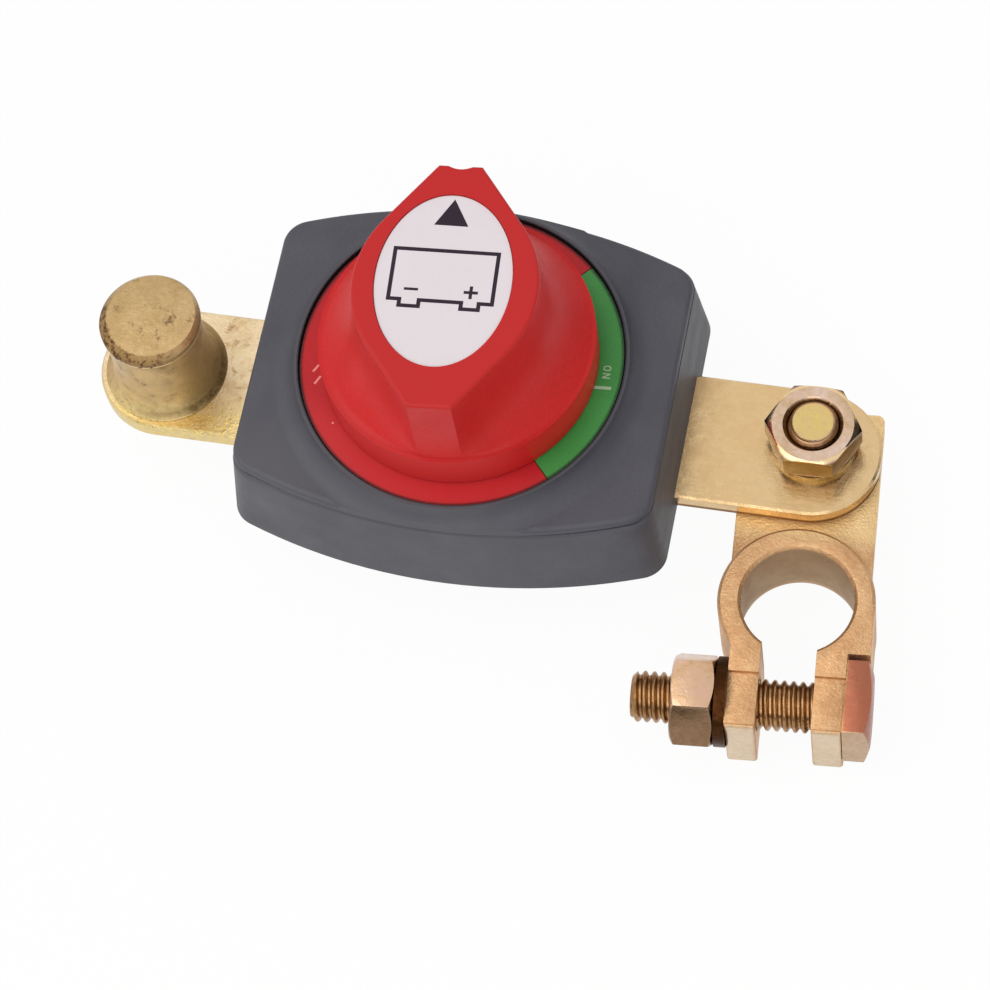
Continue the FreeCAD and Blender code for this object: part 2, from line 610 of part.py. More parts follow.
def grip_section(drawing, share, inset="0"):
    """Plan of the grip; the share says how far it is still spread towards the skirt's circle."""
    wide = "(Dim.grip_half_width - (%s))" % inset
    turn_x = "(Dim.grip_turn_across - (%s))" % inset
    turn_y = "Dim.grip_turn_along"
    tip_x = "(Dim.grip_tip_half - (%s) / 3)" % inset
    tip_y = "(Dim.grip_half_length - (%s))" % inset

    def spread(x, y):
        """A point of the grip moved towards the circle along its ray."""
        if share == "0":
            return x, y
        factor = "(1 + (%s) * (%s / sqrt(pow(%s; 2) + pow(%s; 2)) - 1))" % (share, base_radius, x, y)
        return "%s * %s" % (x, factor), "%s * %s" % (y, factor)

    turn = spread(turn_x, turn_y)
    tip = spread(tip_x, tip_y)
    flat = spread("((%s + %s) / 2)" % (turn_x, tip_x), "((%s + %s) / 2)" % (turn_y, tip_y))
    side = spread(wide, "0")
    end = spread("0", tip_y)
    if share == "0":
        return outline(
            drawing,
            (turn[0], turn[1], wide, 0),
            tip,
            ("-" + tip[0], tip[1]),
            ("-" + turn[0], turn[1]),
            ("-" + turn[0], "-" + turn[1], "-" + wide, 0),
            ("-" + tip[0], "-" + tip[1]),
            (tip[0], "-" + tip[1]),
            (turn[0], "-" + turn[1]),
        )
    return outline(
        drawing,
        (turn[0], turn[1], side[0], 0),
        (tip[0], tip[1], flat[0], flat[1]),
        ("-" + tip[0], tip[1], 0, end[1]),
        ("-" + turn[0], turn[1], "-" + flat[0], flat[1]),
        ("-" + turn[0], "-" + turn[1], "-" + side[0], 0),
        ("-" + tip[0], "-" + tip[1], "-" + flat[0], "-" + flat[1]),
        (tip[0], "-" + tip[1], 0, "-" + end[1]),
        (turn[0], "-" + turn[1], flat[0], "-" + flat[1]),
    )


knob_solid = new_body("KnobSolid")
pad(knob_solid, "Skirt", circle(sketch(knob_solid, "SkirtPlan", "XY_Plane", skirt_low), "Dim.knob_radius"),
    "Dim.skirt_height")
sections = [
    grip_section(sketch(knob_solid, "GripFoot", "XY_Plane", skirt_high), "1"),
    grip_section(sketch(knob_solid, "GripLow", "XY_Plane", skirt_high + " + Dim.flare_low_rise"),
                 "Dim.flare_low_share"),
    grip_section(sketch(knob_solid, "GripMid", "XY_Plane", skirt_high + " + Dim.flare_mid_rise"),
                 "Dim.flare_mid_share"),
    grip_section(sketch(knob_solid, "GripHigh", "XY_Plane", skirt_high + " + Dim.flare_high_rise"),
                 "Dim.flare_high_share"),
    grip_section(sketch(knob_solid, "GripTop", "XY_Plane", grip_top), "0"),
]
grip = knob_solid.newObject("PartDesign::AdditiveLoft", "Grip")
grip.Profile = sections[0]
grip.Sections = sections[1:]
dress(knob_solid, "Fillet", "GripEdge", "Dim.grip_edge_round", lambda m, e: near(m.z, grip_top))


def knob_prism(name, low, high, inset):
    body = new_body(name)
    drawing = grip_section(sketch(body, name + "Plan", "XY_Plane", low), "0", inset)
    pad(body, name + "Pad", drawing, "(%s) - (%s)" % (high, low))
    return body


label_floor = "(%s - Dim.label_depth)" % grip_top
roof = "(%s - Dim.roof_thickness)" % label_floor
skirt_hollow = cylinder("SkirtHollow", "Dim.knob_radius - Dim.knob_wall", "%s - 1" % skirt_low,
                        skirt_high + " - Dim.knob_wall")
grip_hollow = knob_prism("GripHollow", skirt_low, roof, "Dim.knob_wall")
hub = cylinder("Hub", "Dim.hub_radius", skirt_low, "%s + Dim.roof_thickness / 2" % roof)
notch_y = "Dim.grip_half_length + Dim.pointer_notch_radius - Dim.pointer_notch"
notch = cylinder("PointerNotch", "Dim.pointer_notch_radius", skirt_high + " + Dim.knob_edge_round",
                 grip_top + " + 1", 0, notch_y)


def oval(name, grow, low, high):
    """An upright oval prism; grow widens it all round."""
    ring = doc.addObject("Part::Ellipse", name + "Plan")
    bind(ring, MajorRadius="Dim.label_half_length + " + grow, MinorRadius="Dim.label_half_width + " + grow)
    place(ring, "-Dim.label_side", "Dim.label_shift", low, 90)
    thing = doc.addObject("Part::Extrusion", name)
    thing.Base = ring
    thing.DirMode = "Custom"
    thing.Dir = Vector(0, 0, 1)
    thing.Solid = True
    bind(thing, LengthFwd="(%s) - (%s)" % (high, low))
    return thing


label_recess = oval("LabelRecess", "Dim.label_gap", label_floor, grip_top + " + 1")
well = cylinder("ScrewWell", "Dim.well_radius", hub_floor, grip_top)
socket_half = "(Dim.drive_side / 2 + Dim.drive_clearance)"
socket = box("DriveSocket", ("-" + socket_half, "-" + socket_half, "%s - 1" % skirt_low),
             (socket_half, socket_half, socket_top))
knob_hole = cylinder("KnobScrewHole", "Dim.knob_screw_radius + Dim.screw_play", skirt_low, grip_top)
shaped = cut("KnobShaped", knob_solid, skirt_hollow, grip_hollow, notch)
hubbed = fuse("KnobHubbed", shaped, hub)
knob = node("knob", cut("Knob", hubbed, label_recess, well, socket, knob_hole))
knob_label = node("knob_label", oval("KnobLabel", "0", label_floor, label_floor + " + Dim.label_thickness"))

screw_low = "(%s - Dim.knob_screw_length)" % hub_floor
head_high = "(%s + Dim.knob_screw_head_height)" % hub_floor
screw_body = fuse(
    "KnobScrewBody",
    cylinder("KnobScrewShank", "Dim.knob_screw_radius", screw_low, hub_floor),
    cylinder("KnobScrewHead", "Dim.knob_screw_head_radius", hub_floor, head_high),
)
cross_low = "(%s - Dim.knob_screw_head_height / 2)" % head_high
reach = "(Dim.knob_screw_socket * 1.6)"
thin = "(Dim.knob_screw_socket / 4)"
cross_a = box("CrossA", ("-" + reach, "-" + thin, cross_low), (reach, thin, head_high + " + 1"))
cross_b = box("CrossB", ("-" + thin, "-" + reach, cross_low), (thin, reach, head_high + " + 1"))
knob_screw = node("knob_screw", cut("KnobScrew", screw_body, cross_a, cross_b))

# Rotor: round in the bushing, square in the knob, with a flange and two cheeks for the bridge.
shaft_top = "(%s + Dim.shaft_proud)" % recess_floor
shaft = cylinder("Shaft", "Dim.shaft_radius", flange_bottom, shaft_top)
half_drive = "(Dim.drive_side / 2)"
drive = box("Drive", ("-" + half_drive, "-" + half_drive, shaft_top + " - 1"),
            (half_drive, half_drive, drive_top))
flange = cylinder("Flange", "Dim.flange_radius", flange_bottom, flange_top)
cheeks = cylinder("Cheeks", "Dim.carrier_radius", flange_bottom + " - Dim.carrier_depth", flange_bottom)
slot_half = "(Dim.bridge_width / 2 + Dim.bridge_clearance)"
bridge_slot = box("BridgeSlot", ("-" + slot_half, "-Dim.carrier_radius", "0"),
                  (slot_half, "Dim.carrier_radius", flange_bottom))
pocket_top = "(%s + Dim.spring_pocket_depth)" % flange_bottom
spring_pocket = cylinder("SpringPocket", "Dim.spring_pocket_radius", flange_bottom + " - 1", pocket_top)
seal_height = "(%s - Dim.seal_drop)" % recess_floor
seal_ring = "(%s - Dim.seal_wire - Dim.seal_play)" % shaft_room
groove_outer = cylinder("GrooveOuter", "Dim.shaft_radius + 1",
                        seal_height + " - Dim.seal_wire - Dim.seal_play",
                        seal_height + " + Dim.seal_wire + Dim.seal_play")
groove_inner = cylinder("GrooveInner", "%s - Dim.seal_wire - Dim.seal_play" % seal_ring,
                        flange_bottom, shaft_top)
groove = cut("SealGroove", groove_outer, groove_inner)
thread_hole = cylinder("RotorThread", "Dim.knob_screw_radius + Dim.screw_play", "%s - 0.5" % screw_low,
                       drive_top)
rotor_body = fuse("RotorBody", shaft, drive, flange, cheeks)
rotor = node("rotor", cut("Rotor", rotor_body, bridge_slot, spring_pocket, groove, thread_hole))
seal = doc.addObject("Part::Torus", "ShaftSeal")
bind(seal, Radius1=seal_ring, Radius2="Dim.seal_wire")
node("shaft_seal", place(seal, 0, 0, seal_height))

# Contact bridge: bar with round ends and a nub for its spring.
bridge = new_body("ContactBridge")
half_bridge = "(Dim.bridge_width / 2)"
straight = "(Dim.bridge_half_length - Dim.bridge_width / 2)"
plan = outline(
    sketch(bridge, "BridgePlan", "XY_Plane", bridge_low),
    (half_bridge, straight),
    ("-" + half_bridge, straight, 0, "Dim.bridge_half_length"),
    ("-" + half_bridge, "-" + straight),
    (half_bridge, "-" + straight, 0, "-Dim.bridge_half_length"),
)
pad(bridge, "BridgePad", plan, "Dim.bridge_thickness")
nub = circle(sketch(bridge, "NubPlan", "XY_Plane", bridge_high), "Dim.nub_radius")
pad(bridge, "Nub", nub, "Dim.nub_height")
contact_bridge = node("contact_bridge", bridge)

spring_low = "(%s + Dim.spring_wire)" % bridge_high
spring_rise = "(%s - Dim.spring_wire - %s)" % (pocket_top, spring_low)
coil = doc.addObject("Part::Helix", "SpringPath")
bind(coil, Radius="Dim.spring_radius", Height=spring_rise, Pitch="%s / Dim.spring_turns" % spring_rise)
place(coil, 0, 0, spring_low)
wire = doc.addObject("Part::Circle", "SpringWire")
bind(wire, Radius="Dim.spring_wire")
place(wire, "Dim.spring_radius", 0, spring_low, 90, (1, 0, 0))
spring = doc.addObject("Part::Sweep", "ContactSpring")
spring.Sections = [wire]
spring.Spine = (coil, ["Edge1"])
spring.Solid = True
spring.Frenet = True
contact_spring = node("contact_spring", spring)

for piece in (knob, knob_label, knob_screw, rotor, contact_bridge, contact_spring):
    place(piece, 0, 0, 0, "Dim.knob_rest_angle")


# Hexagons with bevelled corners.
def hexagon(name, low, high, turn):
    """Hexagonal prism along Z whose corners are bevelled at both ends."""
    prism = doc.addObject("Part::Prism", name + "Prism")
    prism.Polygon = 6
    bind(prism, Circumradius="Dim.flats / 2 / cos(30 deg)", Height="(%s) - (%s)" % (high, low))
    place(prism, 0, 0, low, turn)
    outer = "(Dim.flats / 2 / cos(30 deg) + 0.01)"
    drum = turned(
        name + "Drum",
        (0, low),
        ("Dim.hex_land", low),
        (outer, "%s + Dim.hex_bevel" % low),
        (outer, "%s - Dim.hex_bevel" % high),
        ("Dim.hex_land", high),
        (0, high),
    )
    return common(name + "Hex", prism, drum)


def hexagon_nut(name, low, high, turn):
    """Hexagonal nut along Z with a countersunk mouth at both ends."""
    bore = "(Dim.thread_radius + Dim.bolt_clearance)"
    depth = "(Dim.nut_mouth - %s)" % bore
    hole = turned(
        name + "Hole",
        (0, "%s - 1" % low),
        ("Dim.nut_mouth", "%s - 1" % low),
        ("Dim.nut_mouth", low),
        (bore, "%s + %s" % (low, depth)),
        (bore, "%s - %s" % (high, depth)),
        ("Dim.nut_mouth", high),
        ("Dim.nut_mouth", "%s + 1" % high),
        (0, "%s + 1" % high),
    )
    return cut(name, hexagon(name, low, high, turn), hole)


def bolt_shank(name, low, high):
    return turned(
        name,
        (0, low),
        ("Dim.thread_radius", low),
        ("Dim.thread_radius", "%s - Dim.end_bevel" % high),
        ("Dim.thread_radius - Dim.end_bevel", high),
        (0, high),
    )


# Terminal bolt up through the clamp's tab and the right bar, with its nut on top.
stud_x = "Dim.right_bar_reach"
stud_y = "Dim.stud_offset"
nut_high = "(Dim.bar_thickness + Dim.nut_height)"
stud_high = "(%s + Dim.stud_proud)" % nut_high
tab_low = "(-Dim.tab_thickness)"
stud = fuse("TerminalBolt", bolt_shank("StudShank", tab_low, stud_high),
            hexagon("StudHead", "(%s - Dim.head_height)" % tab_low, tab_low, "0"))
node("terminal_bolt", place(stud, stud_x, stud_y, 0))
nut = hexagon_nut("TerminalNut", "Dim.bar_thickness", nut_high, "Dim.nut_turn")
node("terminal_nut", place(nut, stud_x, stud_y, 0))

# Clamp in its own frame: terminal bolt at the origin, bore towards -Y.
clamp = new_body("Clamp")
bore_x = "(-Dim.ring_shift)"
bore_y = "(-Dim.ring_reach)"
ring_low = "(Dim.ring_top - Dim.ring_height)"
ring_plan = circle(sketch(clamp, "RingPlan", "XY_Plane", ring_low), "Dim.ring_radius",
                   "(%s - Dim.ring_offset)" % bore_x, bore_y)
pad(clamp, "Ring", ring_plan, "Dim.ring_height")
dress(clamp, "Chamfer", "RingEdge", "Dim.clamp_bevel", lambda m, e: e.Curve.TypeId == "Part::GeomCircle")
tab_plan = rectangle(sketch(clamp, "TabPlan", "XY_Plane", tab_low), "-Dim.tab_left", bore_y,
                     "Dim.tab_right", "Dim.tab_back")
pad(clamp, "Tab", tab_plan, "Dim.tab_thickness")
slot_middle = "(%s - Dim.slot_shift)" % bore_x
ear_left = "(%s - Dim.slot_half_width - Dim.ear_thickness)" % slot_middle
ear_right = "(%s + Dim.slot_half_width + Dim.ear_thickness)" % slot_middle
pinch_y = "(%s - Dim.pinch_place)" % bore_y
lug_y = "(%s + Dim.square_side / 2 + Dim.lug_gap)" % pinch_y
step_y = "(%s - Dim.ear_start)" % bore_y
front_y = "(%s - Dim.ear_front)" % bore_y
neck_plan = outline(
    sketch(clamp, "NeckPlan", "XY_Plane", ring_low),
    ("%s - Dim.neck_left" % bore_x, bore_y),
    ("%s - Dim.neck_left" % bore_x, "%s - Dim.neck_taper" % bore_y),
    (ear_left, "%s + Dim.washer_radius + Dim.washer_gap" % pinch_y),
    (ear_left, step_y),
    (ear_right, step_y),
    (ear_right, lug_y),
    ("%s + Dim.lug_outer" % bore_x, lug_y),
    ("%s + Dim.lug_outer" % bore_x, bore_y),
)
pad(clamp, "Neck", neck_plan, "Dim.ring_height")
ear_plan = rectangle(sketch(clamp, "EarPlan", "XY_Plane", ring_low), ear_left, front_y,
                     ear_right, "(%s + %s) / 2" % (step_y, lug_y))
pad(clamp, "Ears", ear_plan, "Dim.ring_height - Dim.ear_step")
slot_plan = rectangle(sketch(clamp, "SlotPlan", "XY_Plane", "Dim.ring_top"),
                      "%s - Dim.slot_half_width" % slot_middle, "%s - 1" % front_y,
                      "%s + Dim.slot_half_width" % slot_middle, bore_y)
pocket(clamp, "Slot", slot_plan)
bore_plan = circle(sketch(clamp, "BorePlan", "XY_Plane", "Dim.ring_top"), "Dim.clamp_bore", bore_x, bore_y)
pocket(clamp, "Bore", bore_plan)
mouth_plan = circle(sketch(clamp, "MouthPlan", "XY_Plane", ring_low), "Dim.bore_mouth", bore_x, bore_y)
mouth = pocket(clamp, "Mouth", mouth_plan, depth="Dim.bore_mouth_depth", upwards=True)
mouth.setExpression("TaperAngle", "-atan((Dim.bore_mouth - Dim.clamp_bore) / Dim.bore_mouth_depth)")


def back_corner(middle, edge):
    return near(middle.y, "Dim.tab_back") and abs(edge.tangentAt(edge.FirstParameter).z) > 0.9


def ear_edge(middle, edge):
    return near(middle.y, front_y)


dress(clamp, "Fillet", "BackCorners", "Dim.tab_round", back_corner)
dress(clamp, "Fillet", "EarFronts", "Dim.ear_round", ear_edge)
eye_plan = circle(sketch(clamp, "EyePlan"), "Dim.thread_radius + Dim.bolt_clearance")
pocket(clamp, "Eye", eye_plan)
pinch_z = "(-Dim.pinch_drop)"
pinch_plan = circle(sketch(clamp, "PinchPlan", "YZ_Plane"), "Dim.thread_radius + Dim.bolt_clearance",
                    pinch_y, pinch_z)
pocket(clamp, "PinchHole", pinch_plan)
dress(clamp, "Chamfer", "BoreEdge", "Dim.clamp_bevel",
      lambda m, e: near(m.z, "Dim.ring_top") and e.Curve.TypeId == "Part::GeomCircle"
      and near(e.Curve.Radius, "Dim.clamp_bore"))
node("clamp", clamp)

# Pinch bolt across the ears. Its pieces are made along Z and then laid over towards -X.
shank_end = "Dim.pinch_length"
square_low = "(-Dim.square_height)"
half_side = "(Dim.square_side / 2)"
square_corner = "(Dim.square_side / sqrt(2) + 0.01)"
square = box("PinchSquare", ("-" + half_side, "-" + half_side, square_low), (half_side, half_side, "0"))
square_drum = turned(
    "PinchDrum",
    (0, square_low),
    ("Dim.square_land", square_low),
    (square_corner, square_low + " + Dim.square_bevel"),
    (square_corner, 0),
    (0, 0),
)
pinch = fuse("PinchBolt", bolt_shank("PinchShank", "0", shank_end), common("PinchHead", square, square_drum))
washer_low = "(2 * (Dim.slot_half_width + Dim.ear_thickness))"
washer_high = "(%s + Dim.washer_thickness)" % washer_low
washer_disc = cylinder("WasherDisc", "Dim.washer_radius", washer_low, washer_high)
washer_hole = cylinder("WasherHole", "Dim.thread_radius + 4 * Dim.bolt_clearance", washer_low, washer_high)
washer_split = box("WasherSplit", ("-Dim.washer_radius - 1", "-Dim.washer_split / 2", washer_low),
                   (0, "Dim.washer_split / 2", washer_high))
washer = cut("SpringWasher", washer_disc, washer_hole, washer_split)
pinch_nut = hexagon_nut("PinchNut", washer_high, "(%s + Dim.nut_height)" % washer_high, "30")

swing = "Dim.clamp_swivel * 1 deg"


def ride(thing, x, y, z):
    """Puts a piece that is given in the clamp's frame at its place in the part's frame."""
    across = "%s + (%s) * cos(%s) - (%s) * sin(%s)" % (stud_x, x, swing, y, swing)
    forth = "%s + (%s) * sin(%s) + (%s) * cos(%s)" % (stud_y, x, swing, y, swing)
    thing.setExpression("Placement.Base.x", across)
    thing.setExpression("Placement.Base.y", forth)
    thing.setExpression("Placement.Base.z", str(z))
    return thing


clamp.Placement = Placement(Vector(), Rotation(Vector(0, 0, 1), value("Dim.clamp_swivel")))
clamp.setExpression("Placement.Rotation.Angle", "Dim.clamp_swivel * 1 deg")
ride(clamp, "0", "0", "0")
for piece, label in ((pinch, "pinch_bolt"), (washer, "spring_washer"), (pinch_nut, "pinch_nut")):
    laid = doc.addObject("Part::Compound", label + "_laid")
    laid.Links = [piece]
    piece.Placement = Placement(Vector(), Rotation(Vector(0, 1, 0), -90))
    laid.Placement = Placement(Vector(), Rotation(Vector(0, 0, 1), value("Dim.clamp_swivel")))
    laid.setExpression("Placement.Rotation.Angle", "Dim.clamp_swivel * 1 deg")
    node(label, ride(laid, ear_right, pinch_y, pinch_z))

doc.recompute()

failed = [thing.Name for thing in doc.Objects if "Invalid" in thing.State or "Error" in thing.State]
if failed:
    raise RuntimeError("failed: " + ", ".join(failed))
os.makedirs("parts", exist_ok=True)
for thing in nodes:
    shape = thing.Shape
    if shape.isNull() or not shape.isValid() or not shape.Solids:
        raise RuntimeError("%s has no sound shape" % thing.Label)
    print("%-16s %d solids, %9.1f mm3" % (thing.Label, len(shape.Solids), shape.Volume))
for thing in nodes:
    thing.Shape.exportStep("parts/%s.step" % thing.Label)
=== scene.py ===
"""Battery disconnect switch with a rotary knob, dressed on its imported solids."""

import math

import bpy
from mathutils import Matrix, Vector


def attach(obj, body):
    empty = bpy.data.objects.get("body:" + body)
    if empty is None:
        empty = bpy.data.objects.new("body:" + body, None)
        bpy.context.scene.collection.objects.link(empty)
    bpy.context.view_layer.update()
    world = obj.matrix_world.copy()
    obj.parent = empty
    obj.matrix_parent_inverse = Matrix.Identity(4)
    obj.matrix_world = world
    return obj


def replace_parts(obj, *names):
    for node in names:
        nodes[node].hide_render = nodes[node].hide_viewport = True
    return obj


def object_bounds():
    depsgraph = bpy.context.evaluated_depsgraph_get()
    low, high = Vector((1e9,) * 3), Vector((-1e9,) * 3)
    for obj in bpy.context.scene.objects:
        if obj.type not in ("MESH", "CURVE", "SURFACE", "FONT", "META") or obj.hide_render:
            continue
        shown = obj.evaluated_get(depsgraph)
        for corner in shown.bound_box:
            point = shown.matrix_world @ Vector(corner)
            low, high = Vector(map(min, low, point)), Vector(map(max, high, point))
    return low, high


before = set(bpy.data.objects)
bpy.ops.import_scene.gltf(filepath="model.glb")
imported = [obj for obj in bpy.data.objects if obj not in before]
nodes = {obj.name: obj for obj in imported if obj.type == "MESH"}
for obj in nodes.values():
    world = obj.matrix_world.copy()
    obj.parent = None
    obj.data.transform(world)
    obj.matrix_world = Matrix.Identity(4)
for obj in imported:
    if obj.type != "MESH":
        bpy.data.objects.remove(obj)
solid_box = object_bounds()
mm = 0.001
PER_METRE = 1000.0

# Places and directions on the part, in millimetres

DIAL = Vector((0, 0, 0))
POST = Vector((-49.5, 0, 0))
STUD = Vector((53.5, 1.5, 0))
SWING = math.radians(4.4)
FORWARD = Vector((0, -1, 0))
BACKWARD = -FORWARD
RIGHTWARD = Vector((1, 0, 0))


def on_clamp(x, y, z=0.0):
    """A place given in the clamp's own frame, in millimetres of the part's frame."""
    return STUD + Matrix.Rotation(SWING, 3, "Z") @ Vector((x, y, z))


def heading(degrees):
    """A level direction, given by its angle."""
    return Vector((math.cos(math.radians(degrees)), math.sin(math.radians(degrees)), 0))


BORE_Y = -25.7
BORE = on_clamp(-0.45, BORE_Y)
PINCH = on_clamp(7.8, BORE_Y - 15.1, -4.5)

# How a material is put together

MIX_SHARE, MIX_FIRST, MIX_SECOND, MIX_COLOUR = 0, 6, 7, 2
BLACK = (0.0, 0.0, 0.0, 1)


def srgb(colour):
    """A colour given from 0 to 255, as the shaders want it."""
    levels = [level / 255 for level in colour]
    return tuple(l / 12.92 if l <= 0.04045 else ((l + 0.055) / 1.055) ** 2.4 for l in levels) + (1,)


class Finish:
    """One material: a principled shader and the nodes that feed it."""

    def __init__(self, name, metallic=0.0):
        self.material = bpy.data.materials.new(name)
        self.material.use_nodes = True
        self.tree = self.material.node_tree
        self.shader = self.tree.nodes["Principled BSDF"]
        self.place = self.node("TexCoord").outputs["Object"]
        self.give(Metallic=metallic)

    def node(self, kind, settings=None, **inputs):
        """A new node with its settings, its named inputs fed."""
        made = self.tree.nodes.new("ShaderNode" + kind)
        for key, setting in (settings or {}).items():
            setattr(made, key, setting)
        for key, given in inputs.items():
            self.feed(made.inputs[key.replace("_", " ")], given)
        return made

    def feed(self, socket, given):
        """Gives a socket a value, or links it to another node's output."""
        if isinstance(given, bpy.types.NodeSocket):
            self.tree.links.new(given, socket)
        else:
            socket.default_value = given

    def give(self, **inputs):
        """Feeds the shader."""
        for key, given in inputs.items():
            self.feed(self.shader.inputs[key.replace("_", " ")], given)

    def pair(self, kind, operation, first, second):
        """A Math or VectorMath node between two values."""
        made = self.node(kind, {"operation": operation})
        self.feed(made.inputs[0], first)
        self.feed(made.inputs[1], second)
        return made

    def plus(self, first, second):
        return self.pair("Math", "ADD", first, second).outputs[0]

    def times(self, first, second):
        return self.pair("Math", "MULTIPLY", first, second).outputs[0]

    def mix(self, share, first, second):
        """The second colour laid over the first."""
        made = self.node("Mix", {"data_type": "RGBA"})
        self.feed(made.inputs[MIX_SHARE], share)
        self.feed(made.inputs[MIX_FIRST], first)
        self.feed(made.inputs[MIX_SECOND], second)
        return made.outputs[MIX_COLOUR]

    def span(self, source, low, high, start=0.0, end=1.0):
        """A pattern's values from start to end, spread from low to high."""
        made = self.node("MapRange", Value=source)
        for key, given in (("From Min", start), ("From Max", end), ("To Min", low), ("To Max", high)):
            made.inputs[key].default_value = given
        return made.outputs[0]

    def ramp(self, source, *stops):
        """A pattern turned into colours, or into greys where a stop has one number."""
        made = self.node("ValToRGB", Fac=source)
        marks = made.color_ramp.elements
        while len(marks) < len(stops):
            marks.new(0.5)
        for mark, (position, colour) in zip(marks, stops):
            mark.position = position
            mark.color = colour if isinstance(colour, tuple) else (colour, colour, colour, 1)
        return made.outputs["Color"]

    def drawn_out(self, degrees, stretch):
        """The piece's coordinates, turned on the level and stretched, which draws a pattern out."""
        angles = (0, 0, math.radians(degrees))
        return self.node("Mapping", Vector=self.place, Rotation=angles, Scale=stretch).outputs[0]

    def noise(self, size, detail=3.0, rough=0.55, place=None, warp=0.0):
        """Cloudy pattern whose patches are about so many millimetres across."""
        return self.node("TexNoise", Vector=place or self.place, Scale=1 / (size * mm), Detail=detail,
                         Roughness=rough, Distortion=warp).outputs["Fac"]

    def bump(self, height, depth, below=None):
        """Relief of so many millimetres, on top of another one where that is given."""
        made = self.node("Bump", Height=height, Distance=depth * mm)
        if below is not None:
            self.feed(made.inputs["Normal"], below)
        return made.outputs[0]

    def coordinate(self, axis):
        """One coordinate of the piece in millimetres."""
        split = self.node("SeparateXYZ", Vector=self.place)
        return self.times(split.outputs[axis], PER_METRE)


def differ(made, tone, gloss, fine, changed):
    """Lays each change, a mask, a colour and a roughness step, over a finish."""
    for mask, colour, step in changed:
        share = mask(made, fine)
        tone = made.mix(share, tone, srgb(colour))
        gloss = made.plus(gloss, made.times(share, step))
    return tone, gloss


def moulded(name, base, lighter, roughness, grain=0.28, grain_depth=0.018, dust=0.10, shine=0.35,
            shade=0.08, changed=()):
    """Injection-moulded plastic: spark-eroded grain, slow flow marks, dust and a little handling shine."""
    made = Finish(name)
    lighter = srgb(lighter)
    flow = made.noise(17, 2.0, 0.5, warp=0.8)
    grains = made.noise(grain, 2.0, 0.5)
    tone = made.mix(made.span(flow, 0.0, 1.0, 0.3, 0.7), srgb(base), lighter)
    if dust:
        dusty = made.ramp(made.noise(0.8, 5.0, 0.72), (0.62, 0.0), (0.74, 1.0))
        tone = made.mix(made.times(dusty, dust), tone, lighter)
    tone = made.mix(made.span(grains, 0.0, shade, 0.4, 0.6), tone, BLACK)
    rubs = made.noise(6, 6.0, 0.7, made.drawn_out(25, (1, 0.35, 1)))
    gloss = made.span(rubs, roughness + 0.07, roughness - 0.06, 0.35, 0.65)
    tone, gloss = differ(made, tone, gloss, grains, changed)
    slow = made.bump(made.noise(9, 2.0), 0.05)
    made.give(Base_Color=tone, Roughness=gloss, Specular_IOR_Level=shine,
              Normal=made.bump(grains, grain_depth, slow))
    return made


def cast_metal(name, tones, roughness, pit=0.35, pit_depth=0.05, grime=None, grime_from=0.6, streak=None,
               changed=(), metallic=1.0):
    """Cast or turned metal: mottled alloy, fine pits, dull patches and soft dark deposits. A streak is the
    size of its grinding marks and their direction in degrees."""
    made = Finish(name, metallic)
    broad = made.noise(7, 4.0, 0.6, warp=0.5)
    fine = made.noise(0.9, 5.0, 0.68)
    blend = made.plus(made.times(broad, 0.6), made.times(fine, 0.4))
    stops = [(0.36 + 0.28 * i / (len(tones) - 1), srgb(tone)) for i, tone in enumerate(tones)]
    tone = made.ramp(blend, *stops)
    pits = made.noise(pit, 3.0, 0.6)
    if grime:
        cloudy = made.plus(made.noise(3.2, 6.0, 0.72), made.times(pits, 0.25))
        dark = made.ramp(cloudy, (grime_from, 0.0), (grime_from + 0.14, 1.0))
        tone = made.mix(dark, tone, srgb(grime))
    gloss = made.span(blend, roughness + 0.10, roughness - 0.09, 0.35, 0.65)
    tone, gloss = differ(made, tone, gloss, fine, changed)
    below = made.bump(made.noise(2.6, 3.0), 0.07)
    if streak:
        size, degrees = streak
        lines = made.noise(size, 3.0, 0.6, made.drawn_out(degrees, (0.04, 1, 1)))
        below = made.bump(lines, 0.012, below)
        gloss = made.plus(gloss, made.span(lines, -0.05, 0.05, 0.3, 0.7))
    made.give(Base_Color=tone, Roughness=gloss, Normal=made.bump(pits, pit_depth, below))
    return made


# Masks, which say where on a piece its finish changes


def far_from(made, axis):
    """Distance from an upright axis in millimetres."""
    offset = made.pair("VectorMath", "SUBTRACT", made.place, (axis.x * mm, axis.y * mm, 0))
    flat = made.pair("VectorMath", "MULTIPLY", offset.outputs[0], (1, 1, 0))
    length = made.node("VectorMath", {"operation": "LENGTH"})
    made.feed(length.inputs[0], flat.outputs[0])
    return made.times(length.outputs["Value"], PER_METRE)


def along(made, direction):
    """Distance along a direction in millimetres."""
    dot = made.pair("VectorMath", "DOT_PRODUCT", made.place, tuple(direction))
    return made.times(dot.outputs["Value"], PER_METRE)


def past(edge, direction, soft=0.35, share=0.85, turn=SWING, middle=STUD):
    """Skin beyond an edge. The edge and the direction away from it are given in a frame that is turned
    about its middle: the clamp's own frame, where no other is named."""
    def mask(made, fine):
        outwards = Matrix.Rotation(turn, 3, "Z") @ direction
        start = direction.dot(edge) + outwards.dot(middle)
        beyond = made.span(along(made, outwards), 0.0, share, start, start + soft)
        return made.times(beyond, made.span(fine, 0.8, 1.0, 0.35, 0.6))
    return mask


